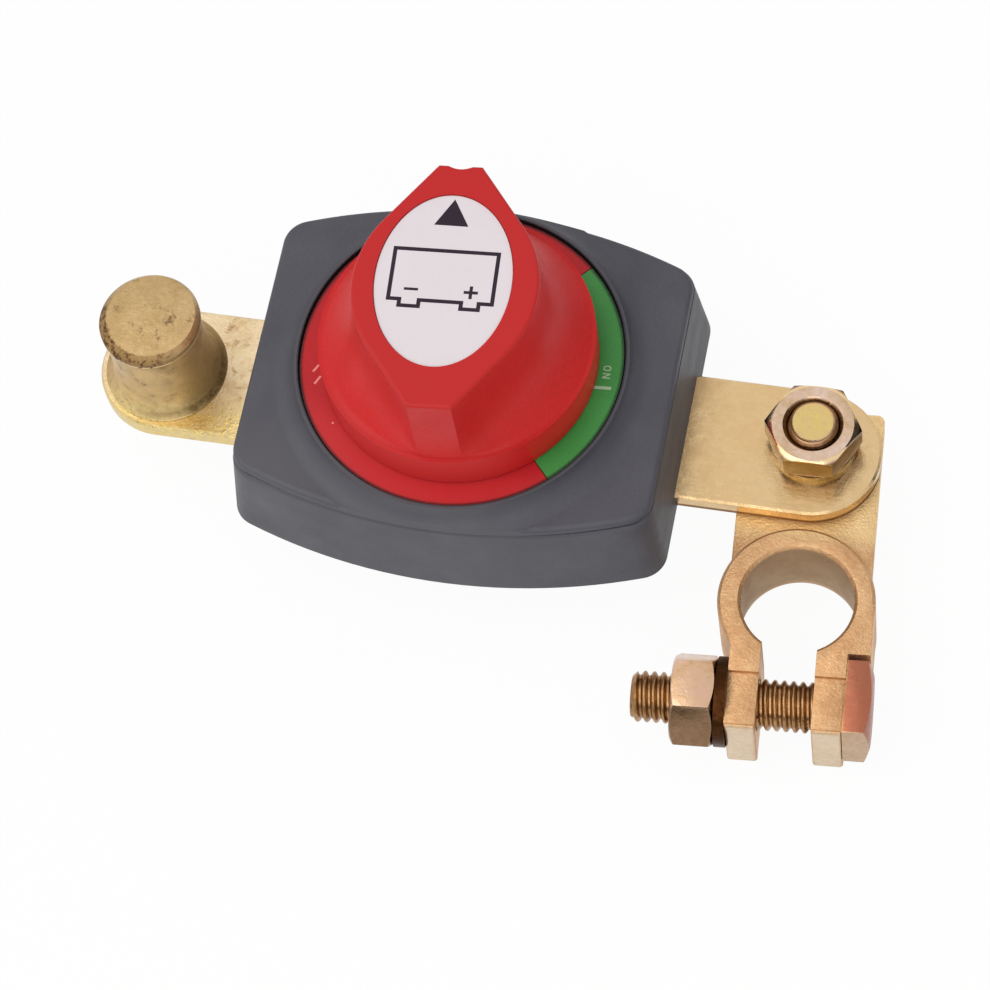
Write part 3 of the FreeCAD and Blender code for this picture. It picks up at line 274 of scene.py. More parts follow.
def band(axis, low, high, soft=0.3, share=1.0, least=0.8):
    """Skin between two distances from an upright axis, fainter in fine spots."""
    def mask(made, fine):
        out = far_from(made, axis)
        ring = made.times(made.span(out, 0.0, share, low, low + soft),
                          made.span(out, 1.0, 0.0, high, high + soft))
        return made.times(ring, made.span(fine, least, 1.0, 0.35, 0.6))
    return mask


def heights(low, high, soft=0.3):
    """Skin between two heights."""
    def mask(made, fine):
        level = made.coordinate("Z")
        return made.times(made.span(level, 0.0, 1.0, low, low + soft),
                          made.span(level, 1.0, 0.0, high - soft, high))
    return mask


def both(first, second):
    """Skin that lies inside two masks."""
    return lambda made, fine: made.times(first(made, fine), second(made, fine))


def specks(made, fine):
    """Scattered spots."""
    return made.ramp(made.noise(0.9, 4.0, 0.7), (0.5, 0.0), (0.6, 1.0))


def patches(made, fine):
    """Whole skin, stronger in some patches than in others."""
    return made.span(made.noise(4.0, 4.0, 0.65), 0.15, 1.0, 0.38, 0.6)


def rubbed_and_highlit(made, fine):
    """Front of the post's foot and of its bar: rubbed smoother, and lighter there as a painted highlight.
    """
    front = made.span(made.coordinate("Y"), 1.0, 0.0, -8.5, -3.0)
    low = made.span(made.coordinate("Z"), 1.0, 0.0, 2.5, 8.0)
    return made.times(made.times(front, low), made.span(fine, 0.35, 1.0, 0.36, 0.56))


# Finishes of the housing, the knob and the dial

# Painted shade: the housing inside the dial's recess is darkened where shade falls in the gap round the
# dial.
recess_shade = both(band(DIAL, -1.0, 25.25, soft=0.1, share=0.8), heights(10.0, 30.0))
# Painted light: the housing is lightened towards its front left, where the light falls on it.
front_left_light = past(Vector((0, -14.0, 0)), Vector((-0.35, -0.94, 0)), soft=14.0, share=0.5, turn=0.0,
                  middle=DIAL)
# Painted light: the knob's skirt and the dial are lighter and paler on their front side, where light falls.
front_skirt_light = both(past(Vector((0, -13.0, 0)), Vector((-0.2, -0.98, 0)), soft=5.0, share=0.9, turn=0.0,
                        middle=DIAL), heights(15.0, 27.3))
# Painted sheen: the grip's top face gets its own tone for the light that falls on it.
grip_top_sheen = heights(42.5, 44.0, soft=0.2)
# Painted shade: a dark ring on the dial's outer edge, in the gap to the recess wall.
dial_edge_shade = band(DIAL, 24.3, 30.0, soft=0.3, share=0.85)

housing_plastic = moulded(
    "housing_plastic", (73, 73, 81), (83, 83, 90), roughness=0.50, grain=0.33, grain_depth=0.028,
    changed=[(recess_shade, (22, 18, 20), 0.1), (front_left_light, (90, 90, 95), 0.0)])
knob_red = moulded(
    "knob_red", (198, 30, 30), (208, 38, 38), roughness=0.42, grain=0.5, grain_depth=0.006, dust=0.05,
    shine=0.24, changed=[(front_skirt_light, (200, 50, 50), 0.0), (grip_top_sheen, (194, 36, 36), 0.0)])
dial_red = moulded(
    "dial_red", (184, 24, 32), (196, 32, 38), roughness=0.42, grain=0.4, grain_depth=0.010, dust=0.08,
    shine=0.3, changed=[(front_skirt_light, (202, 44, 48), 0.0), (dial_edge_shade, (58, 18, 22), 0.1)])
sector_green = moulded(
    "sector_green", (62, 144, 66), (72, 156, 76), roughness=0.42, grain=0.4, grain_depth=0.010, dust=0.08,
    shine=0.3, changed=[(dial_edge_shade, (22, 48, 26), 0.1)])
label_white = moulded(
    "label_white", (228, 218, 222), (231, 222, 226), roughness=0.30, grain=0.9, grain_depth=0.004, dust=0.0,
    shade=0.01)
print_dark = moulded(
    "print_dark", (40, 26, 40), (52, 38, 50), roughness=0.45, grain=0.25, grain_depth=0.006, dust=0.0,
    shine=0.2)
print_pale = moulded(
    "print_pale", (166, 200, 160), (178, 210, 172), roughness=0.5, grain=0.25, grain_depth=0.006, dust=0.0)
print_pink = moulded(
    "print_pink", (240, 140, 136), (248, 158, 152), roughness=0.5, grain=0.25, grain_depth=0.006, dust=0.0)

# Finishes of the pieces inside

rotor_plastic = moulded("rotor_plastic", (36, 36, 38), (46, 46, 48), roughness=0.45)
seal_rubber = moulded(
    "seal_rubber", (24, 24, 25), (34, 34, 35), roughness=0.62, grain=0.3, grain_depth=0.02)
contact_copper = cast_metal(
    "contact_copper", [(176, 98, 66), (206, 128, 92)], roughness=0.34, pit=0.5, pit_depth=0.01)
spring_steel = cast_metal(
    "spring_steel", [(128, 130, 134), (168, 170, 174)], roughness=0.30, pit=0.5, pit_depth=0.008)
zinc_steel = cast_metal(
    "zinc_steel", [(158, 160, 164), (196, 198, 200)], roughness=0.34, pit=0.4, pit_depth=0.012)

# Finishes of the bars

wall_shade = past(Vector((36.4, 0, 0)), -RIGHTWARD, soft=2.6, share=0.1, turn=0.0, middle=DIAL)
# Painted shade: a dark stripe along the bars' lower edge.
bar_foot_shade = heights(-1.0, 0.85, soft=0.2)

bar_brass = cast_metal(
    "bar_brass", [(210, 176, 128), (215, 183, 136), (220, 190, 144)], roughness=0.27, pit=0.35,
    pit_depth=0.010, grime=(150, 108, 62), grime_from=0.80, streak=(0.5, 8),
    changed=[(wall_shade, (150, 104, 66), 0.0), (bar_foot_shade, (128, 88, 40), 0.1)])
left_brass = cast_metal(
    "left_brass", [(204, 176, 132), (219, 196, 158), (230, 208, 174)], roughness=0.34, pit=0.45,
    pit_depth=0.06, grime=(150, 108, 62), grime_from=0.69, changed=[(rubbed_and_highlit, (230, 204, 130), -0.06)])

# Finish of the battery post, whose rim is worn broader on the near side of its top face

NEAR_SIDE = Vector((-0.6, -0.8, 0))
WORN_FACE = POST - 0.35 * NEAR_SIDE

rim_near = past(DIAL, NEAR_SIDE, soft=5.0, share=1.0, turn=0.0, middle=POST)
rim_side = both(both(band(WORN_FACE, 6.9, 9.0, soft=0.15, least=0.5), heights(18.0, 19.85, soft=0.12)),
                rim_near)
# Painted highlight: a bright line along the lower edge of the post's rim.
rim_lip_highlight = both(band(POST, 7.7, 9.0, soft=0.15), heights(17.5, 18.05, soft=0.12))
rim_specks = both(both(band(WORN_FACE, 6.6, 9.0), heights(17.4, 19.8, soft=0.2)), both(rim_near, specks))
# Painted light: the neck is lightened in patches to make up for the shade that falls on it.
neck_painted_light = both(heights(4.5, 17.5, soft=1.5), patches)
# Painted shade: a dark band in the crease where the foot meets the bar, on its right front side.
foot_crease_shade = both(
    both(band(POST, 8.6, 9.45, least=0.3), heights(2.9, 4.6)),
    past(DIAL, Vector((0.94, -0.34, 0)), soft=9.0, share=0.95, turn=0.0, middle=POST))

post_brass = cast_metal(
    "post_brass", [(172, 143, 94), (188, 157, 108), (202, 172, 124)], roughness=0.42, pit=0.42,
    pit_depth=0.07, grime=(104, 74, 38), grime_from=0.68, metallic=0.6,
    changed=[(neck_painted_light, (208, 176, 120), 0.0), (rubbed_and_highlit, (232, 208, 142), -0.12),
             (foot_crease_shade, (116, 84, 40), 0.1), (rim_side, (140, 104, 58), 0.1),
             (rim_lip_highlight, (240, 214, 162), -0.1), (rim_specks, (78, 50, 24), 0.1)])

# Finish of the clamp

EAR_FRONT_Y, EAR_EDGE_Y = -46.5, -46.15

# Painted light: the tab is lightened on its side towards the bar, where shade falls between the bar and the
# ring.
tab_painted_light = past(Vector((0, -16.5, 0)), BACKWARD, soft=3.0, share=0.8)
bore_skin = both(band(BORE, -1.0, 9.0, soft=0.5, least=0.75), heights(-20, 1.1, soft=0.5))
# Painted reflection: the ears' front faces are given a pale colour as a reflection of the bright floor;
# they are also smoother.
ear_fronts_reflection = past(Vector((0, EAR_FRONT_Y, 0)), FORWARD)
ear_edges = both(past(Vector((0, EAR_EDGE_Y, 0)), FORWARD, soft=0.15),
                 past(Vector((0, EAR_FRONT_Y, 0)), BACKWARD, soft=0.15))

clamp_brass = cast_metal(
    "clamp_brass", [(196, 150, 106), (206, 162, 117), (216, 177, 132)], roughness=0.44, pit=0.42,
    pit_depth=0.11, grime=(150, 100, 62), grime_from=0.82, metallic=0.85,
    changed=[(tab_painted_light, (240, 208, 152), -0.04), (bore_skin, (160, 130, 92), 0.1),
             (ear_edges, (110, 70, 40), 0.1), (ear_fronts_reflection, (226, 208, 180), -0.1)])

# Finishes of the terminal bolt and its nut

NUT_TURN = 31.5
FRONT_FACET, LEFT_FACET = heading(NUT_TURN + 240), heading(NUT_TURN + 180)
FACET = 6.2

# Darker round the stud's threads and in the terminal nut's thread mouth.
thread_band_dark = band(STUD, 3.15, 4.3, soft=0.4, least=0.7)
stud_face = band(STUD, -1.0, 2.9, soft=0.5, least=0.6)
# Painted shade and light: the terminal nut's walls are darkened, and its front and left facets each get a
# lighter tone of their own for the light on them.
nut_walls_shade = heights(4.9, 9.35, soft=0.2)
nut_front_lit = past(FACET * FRONT_FACET, FRONT_FACET, soft=0.2, share=1.0, turn=0.0)
nut_left_lit = past(FACET * LEFT_FACET, LEFT_FACET, soft=0.2, share=1.0, turn=0.0)
# Painted highlight: a bright ring on the terminal nut's top edge.
nut_rim_highlight = both(band(STUD, 6.25, 9.0, soft=0.25), heights(9.3, 11.0, soft=0.2))
nut_collar = heights(2.0, 4.6, soft=0.2)
# Painted shade: the underside of the hex above the collar is darkened.
nut_seat_shade = both(band(STUD, 6.3, 9.0, soft=0.15), heights(4.05, 4.9, soft=0.15))

nut_zinc = cast_metal(
    "nut_zinc", [(186, 154, 118), (208, 178, 150), (224, 198, 184)], roughness=0.22, pit=0.5,
    pit_depth=0.012, grime=(110, 76, 48), grime_from=0.78,
    changed=[(nut_walls_shade, (118, 88, 54), 0.0), (both(nut_walls_shade, nut_front_lit), (132, 108, 58), 0.0),
             (both(nut_walls_shade, nut_left_lit), (132, 112, 84), 0.0), (nut_rim_highlight, (238, 208, 150), -0.05),
             (nut_collar, (168, 142, 84), 0.04), (nut_seat_shade, (60, 40, 20), 0.1),
             (thread_band_dark, (142, 104, 60), 0.15)])
stud_zinc = cast_metal(
    "stud_zinc", [(176, 140, 96), (206, 170, 140), (222, 190, 176)], roughness=0.30, pit=0.5,
    pit_depth=0.02, grime=(110, 76, 48), grime_from=0.76,
    changed=[(thread_band_dark, (120, 84, 46), 0.2), (stud_face, (214, 188, 118), 0.0)])

# Finishes of the pinch bolt, its nut and its washer

# Painted reflection: the square head's front face is pale like the ears' fronts.
head_front_reflection = past(Vector((0, -46.45, 0)), FORWARD, soft=0.3, share=0.95)
head_top = past(Vector((7.9, 0, 0)), RIGHTWARD, soft=0.2, share=1.0)
# Painted shade: the pinch nut's lower facet is darkened, as a reflection of the shaded floor in front.
lower_facet_shade = past(Vector((0, -44.55, 0)), FORWARD, soft=0.3, share=0.9)

bolt_copper = cast_metal(
    "bolt_copper", [(142, 104, 68), (160, 122, 82), (186, 148, 106)], roughness=0.30, pit=0.4,
    pit_depth=0.016, grime=(70, 38, 22), grime_from=0.74,
    changed=[(head_top, (164, 98, 76), 0.05), (head_front_reflection, (210, 192, 158), -0.05)])
nut_blush = cast_metal(
    "nut_blush", [(190, 150, 112), (208, 172, 138), (216, 176, 160)], roughness=0.25, pit=0.5,
    pit_depth=0.012, grime=(120, 84, 54), grime_from=0.80, changed=[(lower_facet_shade, (122, 93, 66), 0.0)])
# Painted shade: the whole spring washer is given a dark colour because it sits in shade.
washer_painted_shade = cast_metal(
    "washer_painted_shade", [(50, 28, 12), (64, 36, 16), (84, 52, 28)], roughness=0.40, pit=0.4, pit_depth=0.02,
    grime=(40, 22, 12), grime_from=0.70)

# Every solid gets its finish

FINISHES = {
    "housing_body": housing_plastic, "housing_cover": housing_plastic, "dial_plate": dial_red,
    "on_sector": sector_green, "knob": knob_red, "knob_label": label_white, "rotor": rotor_plastic,
    "shaft_seal": seal_rubber, "contact_bridge": contact_copper, "contact_tips": contact_copper,
    "contact_spring": spring_steel, "knob_screw": zinc_steel, "housing_screws": zinc_steel,
    "right_bar": bar_brass, "left_bar": left_brass, "battery_post": post_brass,
    "terminal_bolt": stud_zinc, "terminal_nut": nut_zinc, "clamp": clamp_brass,
    "pinch_bolt": bolt_copper, "spring_washer": washer_painted_shade, "pinch_nut": nut_blush,
}
for name, finish in FINISHES.items():
    for place in nodes[name].material_slots:
        place.material = finish.material

# Modelling helpers: sizes are in millimetres, and the two reaches in metres

WELD_REACH = 1e-6
FINE_REACH = 1e-7
FACETS = 96


def fresh():
    """Leaves edit mode and lets go of everything."""
    if bpy.context.mode != "OBJECT":
        bpy.ops.object.mode_set(mode="OBJECT")
    bpy.ops.object.select_all(action="DESELECT")


def only(piece):
    """Takes hold of one piece and of nothing else."""
    fresh()
    piece.select_set(True)
    bpy.context.view_layer.objects.active = piece


def edit(piece):
    """Opens a piece in edit mode with all of it selected."""
    only(piece)
    bpy.ops.object.mode_set(mode="EDIT")
    bpy.ops.mesh.select_all(action="SELECT")


def pick(piece, kind, wanted):
    """Selects those faces or points of a piece in edit mode that are wanted."""
    bpy.ops.mesh.select_all(action="DESELECT")
    bpy.ops.object.mode_set(mode="OBJECT")
    for part in getattr(piece.data, kind):
        part.select = wanted(part)
    bpy.ops.object.mode_set(mode="EDIT")


def settle(piece):
    """Puts the piece's place into its mesh."""
    only(piece)
    bpy.ops.object.transform_apply(location=True, rotation=True, scale=True)
    return piece


def set_down(piece, place):
    """Moves a piece by a matrix."""
    piece.matrix_world = place
    return settle(piece)


def apply(piece, kind, **settings):
    """Gives a piece a modifier and applies it."""
    only(piece)
    made = piece.modifiers.new(kind.title(), kind)
    for key, given in settings.items():
        setattr(made, key, given)
    bpy.ops.object.modifier_apply(modifier=made.name)
    return piece


def carve(piece, tool, how="DIFFERENCE"):
    """Cuts a piece with a tool, or joins the two."""
    apply(piece, "BOOLEAN", object=tool, operation=how, solver="EXACT")
    bpy.data.objects.remove(tool)
    return piece


def ease(piece, width, angle=20):
    """Rounds all edges that turn by more than an angle."""
    return apply(piece, "BEVEL", width=width * mm, segments=3, limit_method="ANGLE",
                 angle_limit=math.radians(angle))


def weld(piece, reach=WELD_REACH):
    """Joins points that coincide and turns the faces outwards."""
    edit(piece)
    bpy.ops.mesh.remove_doubles(threshold=reach)
    bpy.ops.mesh.normals_make_consistent(inside=False)
    bpy.ops.object.mode_set(mode="OBJECT")
    return piece


def smooth(piece, angle=32):
    """Shades a piece smooth, apart from edges that turn by more than an angle."""
    only(piece)
    bpy.ops.object.shade_smooth_by_angle(angle=math.radians(angle))
    return piece


def dress(piece, name, body, finish):
    """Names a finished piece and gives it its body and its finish."""
    piece.name = piece.data.name = name
    piece.data.materials.clear()
    piece.data.materials.append(finish.material)
    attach(piece, body)
    return piece


def drum(radius, low, high, vertices=FACETS):
    """Upright cylinder."""
    fresh()
    bpy.ops.mesh.primitive_cylinder_add(vertices=vertices, radius=radius * mm, depth=(high - low) * mm,
                                        location=(0, 0, (high + low) / 2 * mm))
    return settle(bpy.context.object)


def wound(start, strokes, facets=FACETS, rise=0.0, turns=1):
    """A line drawn out of a single point by strokes outwards and upwards, wound round the upright axis."""
    fresh()
    bpy.ops.mesh.primitive_plane_add(size=mm, location=(0, 0, 0))
    piece = bpy.context.object
    edit(piece)
    bpy.ops.mesh.merge(type="CENTER")
    bpy.ops.transform.translate(value=(start[0] * mm, 0, start[1] * mm))
    for out, up in strokes:
        bpy.ops.mesh.extrude_region_move(TRANSFORM_OT_translate={"value": (out * mm, 0, up * mm)})
    settle(piece)
    return apply(piece, "SCREW", axis="Z", screw_offset=rise * mm, iterations=turns, steps=facets,
                 render_steps=facets, use_merge_vertices=True, merge_threshold=WELD_REACH)


def turned_on_lathe(middle, profile):
    """A piece of revolution, given by its half section in radius and height."""
    strokes = [(next_r - r, next_z - z) for (r, z), (next_r, next_z) in zip(profile, profile[1:])]
    piece = weld(wound(profile[0], strokes))
    piece.location = middle * mm
    return smooth(settle(piece), 30)


def rounded(node, name, width):
    """A copy of a solid whose sharp edges are eased."""
    fresh()
    piece = bpy.data.objects.new(name, nodes[node].data.copy())
    bpy.context.scene.collection.objects.link(piece)
    edit(piece)
    bpy.ops.mesh.remove_doubles(threshold=WELD_REACH)
    bpy.ops.mesh.dissolve_limited(angle_limit=math.radians(0.6))
    return smooth(ease(piece, width, 28), 40)


# Bolts and nuts

HEX_FLATS, HEX_LAND, HEX_BEVEL = 13, 6.25, 0.75
NUT_BORE, NUT_EDGE = 4.07, 0.28
MOUTH_WIDE, MOUTH_NARROW, MOUTH_DEPTH, MOUTH_SHIFT = 4.9, 3.9, 1.0, 0.25
COLLAR_RADIUS, COLLAR_LAP = 6.55, 0.4
SHANK, THREAD_ROOT, THREAD_CREST, THREAD_PITCH = 3.6, 3.30, 3.92, 1.41
SHANK_LAP, THREAD_LAP, END_BEVEL = 0.6, 0.3, 0.8
# One tooth, in strokes outwards and upwards: shares of the thread's depth and of its pitch
TOOTH = ((0, 0.10), (0.72, 0.19), (0.22, 0.10), (0.06, 0.105), (-0.06, 0.105), (-0.22, 0.10), (-0.72, 0.19),
         (0, 0.11))
# With as many sides as the drums the mould would leave gaps in the heads' meshes
MOULD_SIDES, MOULD_ROOM = 94, 0.02


def prism_head(sides, flats, low, high, turn, land, bevel, two_ends=True):
    """Hexagonal or square prism, turned down to a round land at its lower end or at both ends."""
    corner = flats / 2 / math.cos(math.pi / sides)
    fresh()
    bpy.ops.mesh.primitive_cylinder_add(
        vertices=sides, radius=corner * mm, depth=(high - low) * mm,
        location=(0, 0, (high + low) / 2 * mm), rotation=(0, 0, math.radians(turn)))
    piece = settle(bpy.context.object)
    mould = drum(corner + MOULD_ROOM, low, high, vertices=MOULD_SIDES)
    edit(mould)
    for height in (low, high) if two_ends else (low,):
        pick(mould, "polygons", lambda face: (
            abs(face.normal.z) > 0.9 and abs(face.center.z - height * mm) < WELD_REACH))
        bpy.ops.mesh.inset(thickness=(corner + MOULD_ROOM - land) * mm)
        pick(mould, "vertices", lambda point: (
            abs(point.co.z - height * mm) < WELD_REACH
            and math.hypot(point.co.x, point.co.y) > (corner - 0.01) * mm))
        bpy.ops.transform.translate(value=(0, 0, (bevel if height == low else -bevel) * mm))
    return carve(piece, mould, "INTERSECT")


def thread_coil(low, high):
    """Screw thread, wound longer than wanted and cut off at both ends."""
    turns = math.ceil((high - low) / THREAD_PITCH) + 4
    strokes = [(out * (THREAD_CREST - THREAD_ROOT), up * THREAD_PITCH) for out, up in TOOTH]
    piece = wound((THREAD_ROOT, low - 1.7 * THREAD_PITCH), strokes, 40, THREAD_PITCH, turns)
    edit(piece)
    for height, clear in ((low, "clear_inner"), (high, "clear_outer")):
        bpy.ops.mesh.select_all(action="SELECT")
        bpy.ops.mesh.bisect(plane_co=(0, 0, height * mm), plane_no=(0, 0, 1), use_fill=True,
                            threshold=FINE_REACH, **{clear: True})
    return weld(piece)


def taper_end(piece, end):
    """Bevels the last thread towards the bolt's end."""
    for point in piece.data.vertices:
        reach = math.hypot(point.co.x, point.co.y)
        most = (THREAD_CREST - max(0.0, point.co.z / mm - (end - END_BEVEL))) * mm
        if reach > most:
            point.co.x *= most / reach
            point.co.y *= most / reach
    return piece


def threaded_bolt(head, length, bare, edge):
    """Gives a head whose seat is at zero a shank, bare at first and then threaded."""
    ease(head, edge)
    coil = taper_end(thread_coil(bare - THREAD_LAP, length), length)
    carve(coil, drum(SHANK, -SHANK_LAP, bare), "UNION")
    return smooth(carve(head, coil, "UNION"))


def hexagon_nut(low, high, turn, collar=0.0):
    """Hexagon nut with eased thread mouths, on a round collar where the collar has a height."""
    piece = prism_head(6, HEX_FLATS, low + collar, high, turn, HEX_LAND, HEX_BEVEL)
    if collar:
        carve(piece, drum(COLLAR_RADIUS, low, low + collar + COLLAR_LAP), "UNION")
    carve(piece, drum(NUT_BORE, low - 1, high + 1))
    for height, up in ((low, 1), (high, -1)):
        fresh()
        bpy.ops.mesh.primitive_cone_add(
            vertices=FACETS, radius1=MOUTH_WIDE * mm, radius2=MOUTH_NARROW * mm, depth=MOUTH_DEPTH * mm,
            location=(0, 0, (height + up * MOUTH_SHIFT) * mm), rotation=(0 if up > 0 else math.pi, 0, 0))
        carve(piece, settle(bpy.context.object))
    return smooth(ease(piece, NUT_EDGE))


across_ears = (Matrix.Translation(PINCH * mm) @ Matrix.Rotation(SWING, 4, "Z")
               @ Matrix.Rotation(-math.pi / 2, 4, "Y"))
square_head = prism_head(4, 11.7, low=-4.09, high=0, turn=45, land=5.5, bevel=0.9, two_ends=False)
pinch_bolt = set_down(threaded_bolt(square_head, length=32.3, bare=1.2, edge=0.28), across_ears)
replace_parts(dress(pinch_bolt, "pinch_bolt_threaded", "clamp_group", bolt_copper),
            "pinch_bolt")
pinch_nut = set_down(hexagon_nut(low=19.4, high=26.1, turn=0), across_ears)
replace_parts(dress(pinch_nut, "pinch_nut_dressed", "clamp_group", nut_blush), "pinch_nut")

# The terminal bolt is modelled with the seat of its head at zero and then let down
HEAD_SEAT = -3.5
at_stud = Matrix.Translation(STUD * mm)
seat_level = Matrix.Translation((0, 0, HEAD_SEAT * mm))
stud_head = prism_head(6, HEX_FLATS, low=-8.0, high=HEAD_SEAT, turn=30, land=HEX_LAND, bevel=HEX_BEVEL,
                       two_ends=False)
set_down(stud_head, seat_level.inverted())
terminal_bolt = set_down(threaded_bolt(stud_head, length=13.9, bare=1.0, edge=0.12), seat_level)
set_down(terminal_bolt, at_stud)
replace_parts(dress(terminal_bolt, "terminal_bolt_threaded", "switch", stud_zinc),
            "terminal_bolt")
terminal_nut = set_down(hexagon_nut(low=3.0, high=9.7, turn=NUT_TURN, collar=1.5), at_stud)
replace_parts(dress(terminal_nut, "terminal_nut_dressed", "switch", nut_zinc), "terminal_nut")

# Battery post: all that stands above its rim is moved to the middle of the worn top face

RIM_LEVEL = 19.45
post = turned_on_lathe(POST, [
    (0, 0), (4.4, 0), (4.4, 3.0), (9.6, 3.0), (9.68, 3.12), (9.35, 3.42), (8.85, 3.95), (8.4, 4.8),
    (8.05, 6.1), (7.8, 8.0), (7.66, 10.4), (7.6, 13.0), (7.6, 17.1), (7.68, 17.38), (7.86, 17.6),
    (7.92, 17.75), (7.92, 18.7), (7.85, 18.88), (7.15, 19.5), (7.0, 19.66), (6.8, 19.7), (0, 19.7)])
edit(post)
pick(post, "vertices", lambda point: point.co.z > RIM_LEVEL * mm)
bpy.ops.transform.translate(value=(WORN_FACE - POST) * mm)
bpy.ops.object.mode_set(mode="OBJECT")
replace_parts(dress(post, "battery_post_turned", "switch", post_brass), "battery_post")

# Clamp

clamp = rounded("clamp", "clamp_cast", 0.3)
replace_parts(dress(clamp, "clamp_cast", "clamp_group", clamp_brass), "clamp")

# Printed marks

INK = 0.02
LABEL_TOP, DIAL_TOP = 42.75, 19.55
SIGN_LEFT, SIGN_LOW, SIGN_TURN = -8.42, -3.02, 3.8
POLE_Y = SIGN_LOW + 2.05
LETTER_RADIUS = 22.4


def flat_print(name, loops, height, body, finish, turn=0.0):
    """Ink of a printed mark: closed loops in millimetres, an inner loop leaves a hole."""
    drawing = bpy.data.curves.new(name, "CURVE")
    drawing.dimensions = "2D"
    drawing.fill_mode = "BOTH"
    drawing.extrude = INK / 2 * mm
    for loop in loops:
        line = drawing.splines.new("POLY")
        line.points.add(len(loop) - 1)
        line.use_cyclic_u = True
        for point, (x, y) in zip(line.points, loop):
            point.co = (x * mm, y * mm, 0, 1)
    piece = bpy.data.objects.new(name, drawing)
    bpy.context.scene.collection.objects.link(piece)
    only(piece)
    bpy.ops.object.convert(target="MESH")
    piece = weld(bpy.context.object, FINE_REACH)
    lifted = Matrix.Translation((0, 0, (height + INK / 2) * mm))
    set_down(piece, Matrix.Rotation(math.radians(turn), 4, "Z") @ lifted)
    return dress(piece, name, body, finish)


def bar_loop(x, y, width, height):
    """Outline of a level bar round its middle."""
    return [(x - width / 2, y - height / 2), (x + width / 2, y - height / 2),
            (x + width / 2, y + height / 2), (x - width / 2, y + height / 2)]


def plus_loop(x, y, reach, half):
    """Outline of a plus sign round its middle: one inner corner, and its three quarter turns."""
    corner = [(-reach, -half), (-half, -half), (-half, -reach)]
    loop = []
    for _ in range(4):
        loop += [(x + out, y + up) for out, up in corner]
        corner = [(-up, out) for out, up in corner]
    return loop


def octagon(half_width, half_height, half_top, half_side):
    """Outline of a rectangle whose corners are cut off."""
    return [(-half_width, -half_side), (-half_top, -half_height), (half_top, -half_height),
            (half_width, -half_side), (half_width, half_side), (half_top, half_height),
            (-half_top, half_height), (-half_width, half_side)]


def battery_outline(left, low, width, height, line):
    """Outer and inner loop of the battery sign, whose two terminals stand on its lower side."""
    def loop(inset):
        steps = [(0, 0), (1.7, 0), (1.7, -1.05), (5.2, -1.05), (5.2, 0), (10.9, 0), (10.9, -1.05),
                 (14.1, -1.05), (14.1, 0), (width, 0), (width, height), (0, height)]
        signs = [(1, 1), (1, 1), (1, 1), (-1, 1), (-1, 1), (1, 1), (1, 1), (-1, 1), (-1, 1), (-1, 1),
                 (-1, -1), (1, -1)]
        return [(left + x + sx * inset, low + y + sy * inset) for (x, y), (sx, sy) in zip(steps, signs)]
    return [loop(0), loop(line)]


def stroke(start, end, width):
    """One straight stroke of a printed mark."""
    side = Vector((start[1] - end[1], end[0] - start[0])).normalized() * width / 2
    return [tuple(Vector(p) + k * side) for p, k in ((start, -1), (end, -1), (end, 1), (start, 1))]


def around(angle, radius, loops):
    """Loops drawn upright at the dial's centre, set at an angle with their heads outwards."""
    turn = math.radians(angle - 90)
    c, n = math.cos(turn), math.sin(turn)
    return [[(c * x - n * (y + radius), n * x + c * (y + radius)) for x, y in loop] for loop in loops]


minus_sign = bar_loop(SIGN_LEFT + 3.5, POLE_Y, 2.1, 0.42)
plus_sign = plus_loop(SIGN_LEFT + 12.4, POLE_Y, 1.05, 0.24)
arrow = [(-2.95, 10.0), (2.2, 9.98), (-0.35, 14.45)]
flat_print("label_sign", battery_outline(SIGN_LEFT, SIGN_LOW, 16.05, 9.02, 0.6)
           + [minus_sign, plus_sign, arrow],
           LABEL_TOP, "knob_group", print_dark, SIGN_TURN)

letter_o = [octagon(0.45, 0.6, 0.2, 0.3), octagon(0.25, 0.4, 0.12, 0.25)]
letter_n = [[(-0.45, -0.6), (-0.25, -0.6), (-0.25, 0.22), (0.24, -0.6), (0.45, -0.6), (0.45, 0.6),
             (0.25, 0.6), (0.25, -0.22), (-0.24, 0.6), (-0.45, 0.6)]]
on_dash = stroke((20.95, -1.98), (23.5, -1.82), 0.5)
flat_print("on_mark", [on_dash] + around(3.7, LETTER_RADIUS, letter_o)
           + around(0.4, LETTER_RADIUS, letter_n),
           DIAL_TOP, "switch", print_pale)
off_strokes = [stroke((-22.12, -5.5), (-21.46, -4.25), 0.34),
               stroke((-21.46, -7.52), (-20.78, -6.09), 0.34),
               stroke((-17.42, -13.64), (-17.1, -13.64), 0.3)]
flat_print("off_mark", off_strokes, DIAL_TOP, "switch", print_pink)

# Stage: a pale floor, a white world, two lamps and two dark cards

AIM = Vector((6.01, -13.49, 1.0)) * mm
FLOOR_SIZE = 8
FLOOR_GLOW = 0.95
WORLD_LIGHT, WORLD_SEEN = 0.62, 1.0


def plain(name, colour):
    """A plain material for what isn't part of the object."""
    material = bpy.data.materials.new(name)
    material.use_nodes = True
    material.node_tree.nodes["Principled BSDF"].inputs["Base Color"].default_value = colour
    return material


def seen(tree):
    """1 for what the camera sees, straight or through a reflection."""
    path = tree.nodes.new("ShaderNodeLightPath")
    total = path.outputs["Is Camera Ray"]
    for other in ("Is Glossy Ray", "Is Transmission Ray"):
        most = tree.nodes.new("ShaderNodeMath")
        most.operation = "MAXIMUM"
        tree.links.new(total, most.inputs[0])
        tree.links.new(path.outputs[other], most.inputs[1])
        total = most.outputs[0]
    return total


